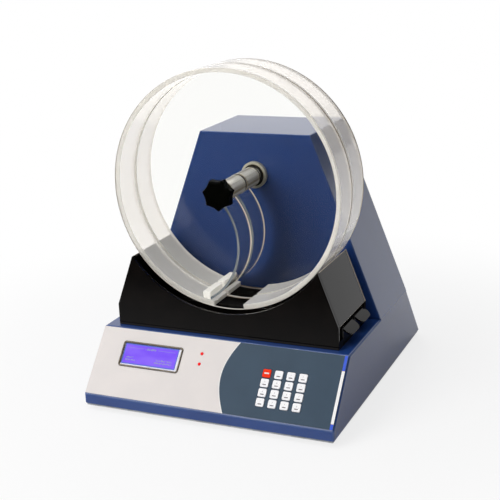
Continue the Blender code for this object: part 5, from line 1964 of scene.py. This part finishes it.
@dataclass
class Tray(SubAssembly):
    """An open collecting tray with a rounded pull tab that slopes out at the right."""

    name: str = "front"
    setback: float = 0.107
    length: float = 0.292
    width: float = 0.038
    height: float = 0.020
    wall: float = 0.002
    corner: float = 0.002
    section: Profile = (
        (0.0006, 0.0), (0.0, 0.0006), (0.0, 0.0196), (0.0004, 0.0200), (0.0016, 0.0200),
        (0.0020, 0.0196), (0.0020, 0.0028), (0.0028, 0.0020),
    )
    right: float = 0.1497
    floor_z: float = 0.0937
    tab: float = 0.0130
    tab_thickness: float = 0.0025
    tab_corner: float = 0.009
    tab_edge: float = 0.0005
    tab_lean: float = 32.0
    tab_drop: float = 0.0014
    tab_inset: float = 0.0015

    def build(self) -> None:
        """Make the tray and its tab in one piece."""
        loops = []
        for inset, height in self.section:
            size = (self.length - 2 * inset, self.width - 2 * inset)
            loops.append(lift(rounded(*size, max(self.corner - inset, GAP), steps=4), height))
        tray = self.keep(Piece.lofted(f"{self.name}_tray_body", loops))

        half, bend = self.width / 2 - self.tab_inset, self.tab_corner
        reach, quarter = self.tab - bend, math.pi / 2
        outline = [(-half, 0.0), (-half, reach)]
        outline += arc(bend, 2 * quarter, quarter, 12, (-half + bend, reach))[1:]
        outline += arc(bend, quarter, 0.0, 12, (half - bend, reach))[:-1]
        outline += [(half, reach), (half, 0.0)]
        lean = math.radians(self.tab_lean)
        face, thick = Vector((math.sin(lean), 0, math.cos(lean))), self.tab_thickness / 2
        spot = Vector((self.length / 2, 0, self.height - self.tab_drop)) - thick * face
        turn = Matrix.Rotation(-quarter, 4, "Z") @ Matrix.Rotation(-lean, 4, "X")
        tab = Piece.sheet("pull_tab", [outline], self.tab_thickness)
        tab.bevelled(self.tab_edge, 3, 60).moved(move(*spot) @ turn)
        end = self.length / 2 + self.wall
        tray.cut(tab, way=Cut.TOGETHER)
        tray.zoned(lambda spot, normal: int(spot.x > end and 0.3 < normal.dot(face) < 0.97))
        x, y = self.right - self.length / 2, self.setback - CASE_DEPTH / 2
        tray.softened().framed(move(x, y, self.floor_z))

    def dress(self) -> None:
        """Black gloss with a painted highlight on the tab's rim, as on the chute."""
        looks, node = (BLACK_SHEET, EDGE_HIGHLIGHT), f"{self.name}_tray"
        self.hand(f"{self.name}_tray_body", looks, node, "black_acrylic", node)


@dataclass
class MainsInlet(SubAssembly):
    """The mains inlet in the rear cover: socket with its pins, fuse drawer and rocker switch."""

    x: float = 0.050
    rise: float = 0.050
    proud: float = 0.0021
    face: Point = (0.028, 0.058)
    face_depth: float = 0.003
    face_corner: float = 0.003
    face_edge: float = 0.0005
    margin: float = 0.0015
    body_depth: float = 0.028
    body_overlap: float = 0.0005
    drawer: tuple[float, float, float] = (0.021, 0.0062, 0.0040)
    drawer_spot: Point = (0.0022, 0.0018)
    socket: Point = (0.024, 0.0165)
    socket_chamfer: float = 0.0042
    socket_depth: float = 0.019
    socket_drop: float = 0.016
    pin: tuple[float, float, float] = (0.002, 0.004, 0.0134)
    pin_places: Profile = ((-0.007, -0.002), (0.0, 0.002), (0.007, -0.002))
    pin_edge: float = 0.0004
    rocker: tuple[float, float, float] = (0.013, 0.019, 0.007)
    rocker_half: Profile = ((0.0095, 0.0066), (0.0089, 0.0070), (0.00475, 0.0063))
    rocker_dip: float = 0.0059
    rocker_rise: float = 0.014
    rocker_sink: float = 0.0045
    rocker_tilt: float = 8.0
    pocket_depth: float = 0.026
    play: float = 0.0008
    sign_lift: float = 0.0064
    sign_spot: float = 0.0052
    sign_film: float = 0.00006
    on_sign: tuple[float, float, float] = (0.0008, 0.0036, 0.0002)
    off_sign: Point = (0.0019, 0.0012)

    def opening(self) -> Loop:
        """The rear cover's opening for the inlet's body.

        Returns:
            Its corners in order.
        """
        width, height = (side - 2 * self.margin + 2 * GAP for side in self.face)
        left, low = self.x - width / 2, DECK_Z + self.rise - height / 2
        return [
            (left, low), (left + width, low), (left + width, low + height), (left, low + height)
        ]

    def build(self) -> None:
        """Make the face, the pins and the rocker."""
        place = move(self.x, TOWER_BACK_Y + self.proud, DECK_Z + self.rise) @ BACK
        self.build_face().framed(place)
        middle = self.face_depth - self.socket_depth + self.pin[2] / 2
        pins = []
        for across, up in self.pin_places:
            pin = Piece.box("pin", self.pin, (across, self.socket_drop + up, middle))
            pins.append(pin.bevelled(self.pin_edge))
        self.keep(Piece.joined("inlet_pins", pins)).zoned(plain).softened().framed(place)
        self.build_rocker()

    def build_face(self) -> Piece:
        """Make the face and body with the drawer, the socket's cavity and the rocker's pocket.

        Returns:
            The piece.
        """
        depth = self.face_depth
        face = self.keep(Piece.sheet("inlet_face", [rounded(*self.face, self.face_corner)], depth))
        face.moved(move(0, 0, depth / 2)).bevelled(self.face_edge, limit=60)
        size = (side - 2 * self.margin for side in self.face)
        body = Piece.box(
            "inlet_body", (*size, self.body_depth + 2 * self.body_overlap),
            (0, 0, self.body_overlap - self.body_depth / 2),
        )
        drawer = Piece.box("fuse_drawer", self.drawer, (0, *self.drawer_spot))
        chamfer, half, tall = self.socket_chamfer, self.socket[0] / 2, self.socket[1]
        top, low = self.socket_drop - tall / 2, self.socket_drop + tall / 2
        right = [(half - chamfer, top), (half, top + chamfer), (half, low)]
        mouth = right + mirrored(right)
        cavity = Piece.lofted("socket_cavity", [
            lift(mouth, depth - self.socket_depth), lift(mouth, depth + 2 * OVERRUN),
        ])
        room = (side + 2 * self.play for side in self.rocker[:2])
        pocket = Piece.box(
            "rocker_pocket", (*room, self.pocket_depth), (0, -self.rocker_rise, depth)
        )
        face.cut(body, drawer.bevelled(self.pin_edge), way=Cut.TOGETHER).cut(cavity, pocket)
        return face.softened()

    def build_rocker(self) -> None:
        """Make the rocker with its two signs, tipped to the side that is off."""
        half = self.rocker[1] / 2
        outline = [(-half, 0.0), (half, 0.0), *self.rocker_half, (0.0, self.rocker_dip)]
        outline += mirrored(self.rocker_half)
        paddle = Piece.sheet("rocker_cap", [outline], self.rocker[0]).moved(SIDE)
        on_loops = [rounded(*self.on_sign, (0, -self.sign_spot))]
        off_loops = [circle(radius, 32, (0, self.sign_spot)) for radius in self.off_sign]
        parts = [paddle.bevelled(self.face_edge, 3, 40)]
        for name, loops in (("on_sign", on_loops), ("off_sign", off_loops)):
            parts.append(Piece.sheet(name, loops, self.sign_film).moved(move(0, 0, self.sign_lift)))
        turn = Matrix.Rotation(math.radians(self.rocker_tilt - 90), 4, "X")
        y = TOWER_BACK_Y + self.proud + self.face_depth - self.rocker_sink
        rocker = self.keep(Piece.joined("rocker_paddle", parts)).softened()
        rocker.framed(move(self.x, y, DECK_Z + self.rise + self.rocker_rise) @ turn)

    def dress(self) -> None:
        """Black plastic, nickel pins and white signs."""
        black = "black_plastic"
        paddle = (BLACK_MOULDED, INK_WHITE, INK_WHITE)
        self.hand("inlet_face", (BLACK_MOULDED,), Body.ROOT, black, "power_inlet")
        self.hand("inlet_pins", (SATIN_NICKEL,), Body.ROOT, "nickel")
        self.hand("rocker_paddle", paddle, Body.ROCKER, black, "power_rocker")


@dataclass
class Workings(SubAssembly):
    """The frame's own parts that keep their shape, most of them inside, and get finer finishes."""

    finishes: tuple[tuple[Finish, tuple[str, ...]], ...] = (
        (GALVANISED, ("base_plate", "support_bracket", "gear_motor")),
        (SATIN_NICKEL, ("bearing_housing",)),
        (CHROME, ("shaft_bearing",)),
        (BLACK_MOULDED, ("counting_disc", "fork_sensor")),
        (BLACK_SHEET, ("tray_guide",)),
        (BOARD_GREEN, ("keypad_board", "main_board")),
    )

    def build(self) -> None:
        """Nothing new is made: the frame holds these parts."""

    def dress(self) -> None:
        """Put the finer finishes in the frame's own material slots."""
        for finish, names in self.finishes:
            for name in names:
                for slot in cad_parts[name].material_slots:
                    slot.material = finish.material()
                LOG.info("%s keeps its shape and gets %s", name, finish.name)


# ---------------------------------------------------------------- studio


@dataclass
class Studio:
    """Pale floor, soft light and the camera at the photograph's angle."""

    camera: tuple[float, float, float] = (0.54156, -1.24078, 0.57774)
    azimuth: float = 24.1
    elevation: float = 16.75
    roll: float = -2.33
    lens: float = 77.05
    aim: tuple[float, float, float] = (0.0, 0.0, 0.18)
    lamps: tuple[tuple[str, tuple[float, float, float], float, float], ...] = (
        ("key_lamp", (-1.26, -2.24, 1.30), 1.6, 34.0),
        ("top_lamp", (-0.75, -0.45, 2.15), 1.1, 15.0),
    )
    sky: float = 0.60
    sky_front: Colour = (0.25, 0.25, 0.26)
    sky_side: float = 0.16
    sky_mirrored: float = 0.04
    floor_radius: float = 14.0
    floor_depth: float = 0.02
    floor_tones: tuple[float, float, float, float] = (0.88, 0.80, 0.30, 0.12)

    def build(self) -> None:
        """Make the camera, the lamps, the world and the floor."""
        scene = bpy.context.scene
        scene.view_settings.view_transform = "Standard"
        data = bpy.data.cameras.new("camera")
        data.lens = self.lens
        data.sensor_width = 36.0
        data.clip_end = 50.0
        camera = bpy.data.objects.new("camera", data)
        scene.collection.objects.link(camera)
        camera.matrix_world = self.camera_matrix()
        scene.camera = camera
        for name, spot, size, power in self.lamps:
            lamp = bpy.data.lights.new(name, "AREA")
            lamp.size = size
            lamp.energy = power
            holder = bpy.data.objects.new(name, lamp)
            scene.collection.objects.link(holder)
            holder.location = spot
            aim = Vector(self.aim) - Vector(spot)
            holder.rotation_euler = aim.to_track_quat("-Z", "Y").to_euler()
        self.build_world(scene)
        self.build_floor()

    def camera_matrix(self) -> Matrix:
        """The camera's place and turn.

        Returns:
            Its matrix.
        """
        az, el, roll = (math.radians(angle) for angle in (self.azimuth, self.elevation, self.roll))
        back = Vector((math.sin(az) * math.cos(el), -math.cos(az) * math.cos(el), math.sin(el)))
        right = Vector((math.cos(az), math.sin(az), 0))
        up = back.cross(right)
        across = math.cos(roll) * right + math.sin(roll) * up
        upward = math.cos(roll) * up - math.sin(roll) * right
        return move(*self.camera) @ Matrix((across, upward, back)).transposed().to_4x4()

    def build_world(self, scene: bpy.types.Scene) -> None:
        """Soft light from all round, dimmer from the front and white where it is seen.

        Args:
            scene: The scene that gets the world.
        """
        world = bpy.data.worlds.new("studio")
        world.use_nodes = True
        scene.world = world
        bench = Bench(world.node_tree)
        white = grey(1.0)
        across, depth, height = bench.axes(bench.node("ShaderNodeTexCoord", output="Generated"))
        level = bench.mix(bench.step(depth, -0.9, 0.5), self.sky_front, white)
        level = bench.mix(bench.step(height, 0.3, 0.9), level, white)
        right = bench.step(across, 0.15, 0.35) * bench.step(height, 0.035, 0.070)
        right = right * bench.step(height, 0.85, 0.60)
        level = bench.mix(right, level, grey(self.sky_side))
        seen = bench.node("ShaderNodeLightPath", output="Is Camera Ray")
        glassy, glossy = seen.beside("Is Transmission Ray"), seen.beside("Is Glossy Ray")
        level = bench.mix(right * glossy, level, grey(self.sky_mirrored))
        colour = bench.mix(seen | glassy, level, white)
        strength = self.sky + (1 - self.sky) * (seen | glassy | glossy)
        light = bench.node("ShaderNodeBackground", None, {"Color": colour, "Strength": strength})
        bench.node("ShaderNodeOutputWorld", None, {"Surface": light})

    def build_floor(self) -> None:
        """A wide disc that keeps the object's shadow near it and is plain white further off."""
        pale, grain, right, front = (grey(tone) for tone in self.floor_tones)
        made = bpy.data.materials.new("pale_floor")
        made.use_nodes = True
        bench = Bench(made.node_tree)
        spot = bench.place()
        across, along, _ = bench.axes(spot)
        squares = {0: across * across + along * along, 1: 0.5}
        far = bench.step(bench.node("ShaderNodeMath", {"operation": "POWER"}, squares), 0.28, 0.75)
        path = bench.node("ShaderNodeLightPath", output="Is Camera Ray")
        glossy, seen = path.beside("Is Glossy Ray"), path | path.beside("Is Transmission Ray")
        mirrored_front = glossy * bench.step(along, -0.15, -0.60)
        colour = bench.mix(0.03 * bench.noise(spot, scale=300.0), pale, grain)
        colour = bench.mix(bench.step(across, 0.2, 0.45) * (1 - seen), colour, right)
        colour = bench.mix(mirrored_front, colour, front)
        matt = bench.node("ShaderNodeBsdfDiffuse", None, {"Color": colour})
        lit = bench.node("ShaderNodeEmission", None, {"Color": grey(1.0), "Strength": 1.0})
        mirrored_far = glossy * (0.15 + 0.85 * far) * (1 - mirrored_front)
        share = (seen * (0.78 + 0.22 * far)) | mirrored_far
        shader = bench.node("ShaderNodeMixShader", None, {0: share, 1: matt, 2: lit})
        bench.node("ShaderNodeOutputMaterial", None, {"Surface": shader})
        disc = circle(self.floor_radius, 96)
        floor = Piece.lofted("floor", [lift(disc, -self.floor_depth), lift(disc, 0.0)])
        floor.obj.data.materials.append(made)


def main() -> None:
    """Build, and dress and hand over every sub-assembly."""
    logging.basicConfig(level=logging.INFO, format="%(message)s")
    Studio().build()
    parts = (
        LowerCase(), Tower(), Console(), Drum(), Drum(name="rear", setback=REAR_DRUM_SETBACK),
        ShaftLine(), Chute(), Tray(), Tray(name="rear", setback=REAR_TRAY_SETBACK), MainsInlet(),
        Workings(),
    )
    for part in parts:
        part.build()
        part.dress()
        LOG.info("%s is done, with %d new pieces", type(part).__name__, len(part.pieces))


if __name__ == "__main__":
    main()
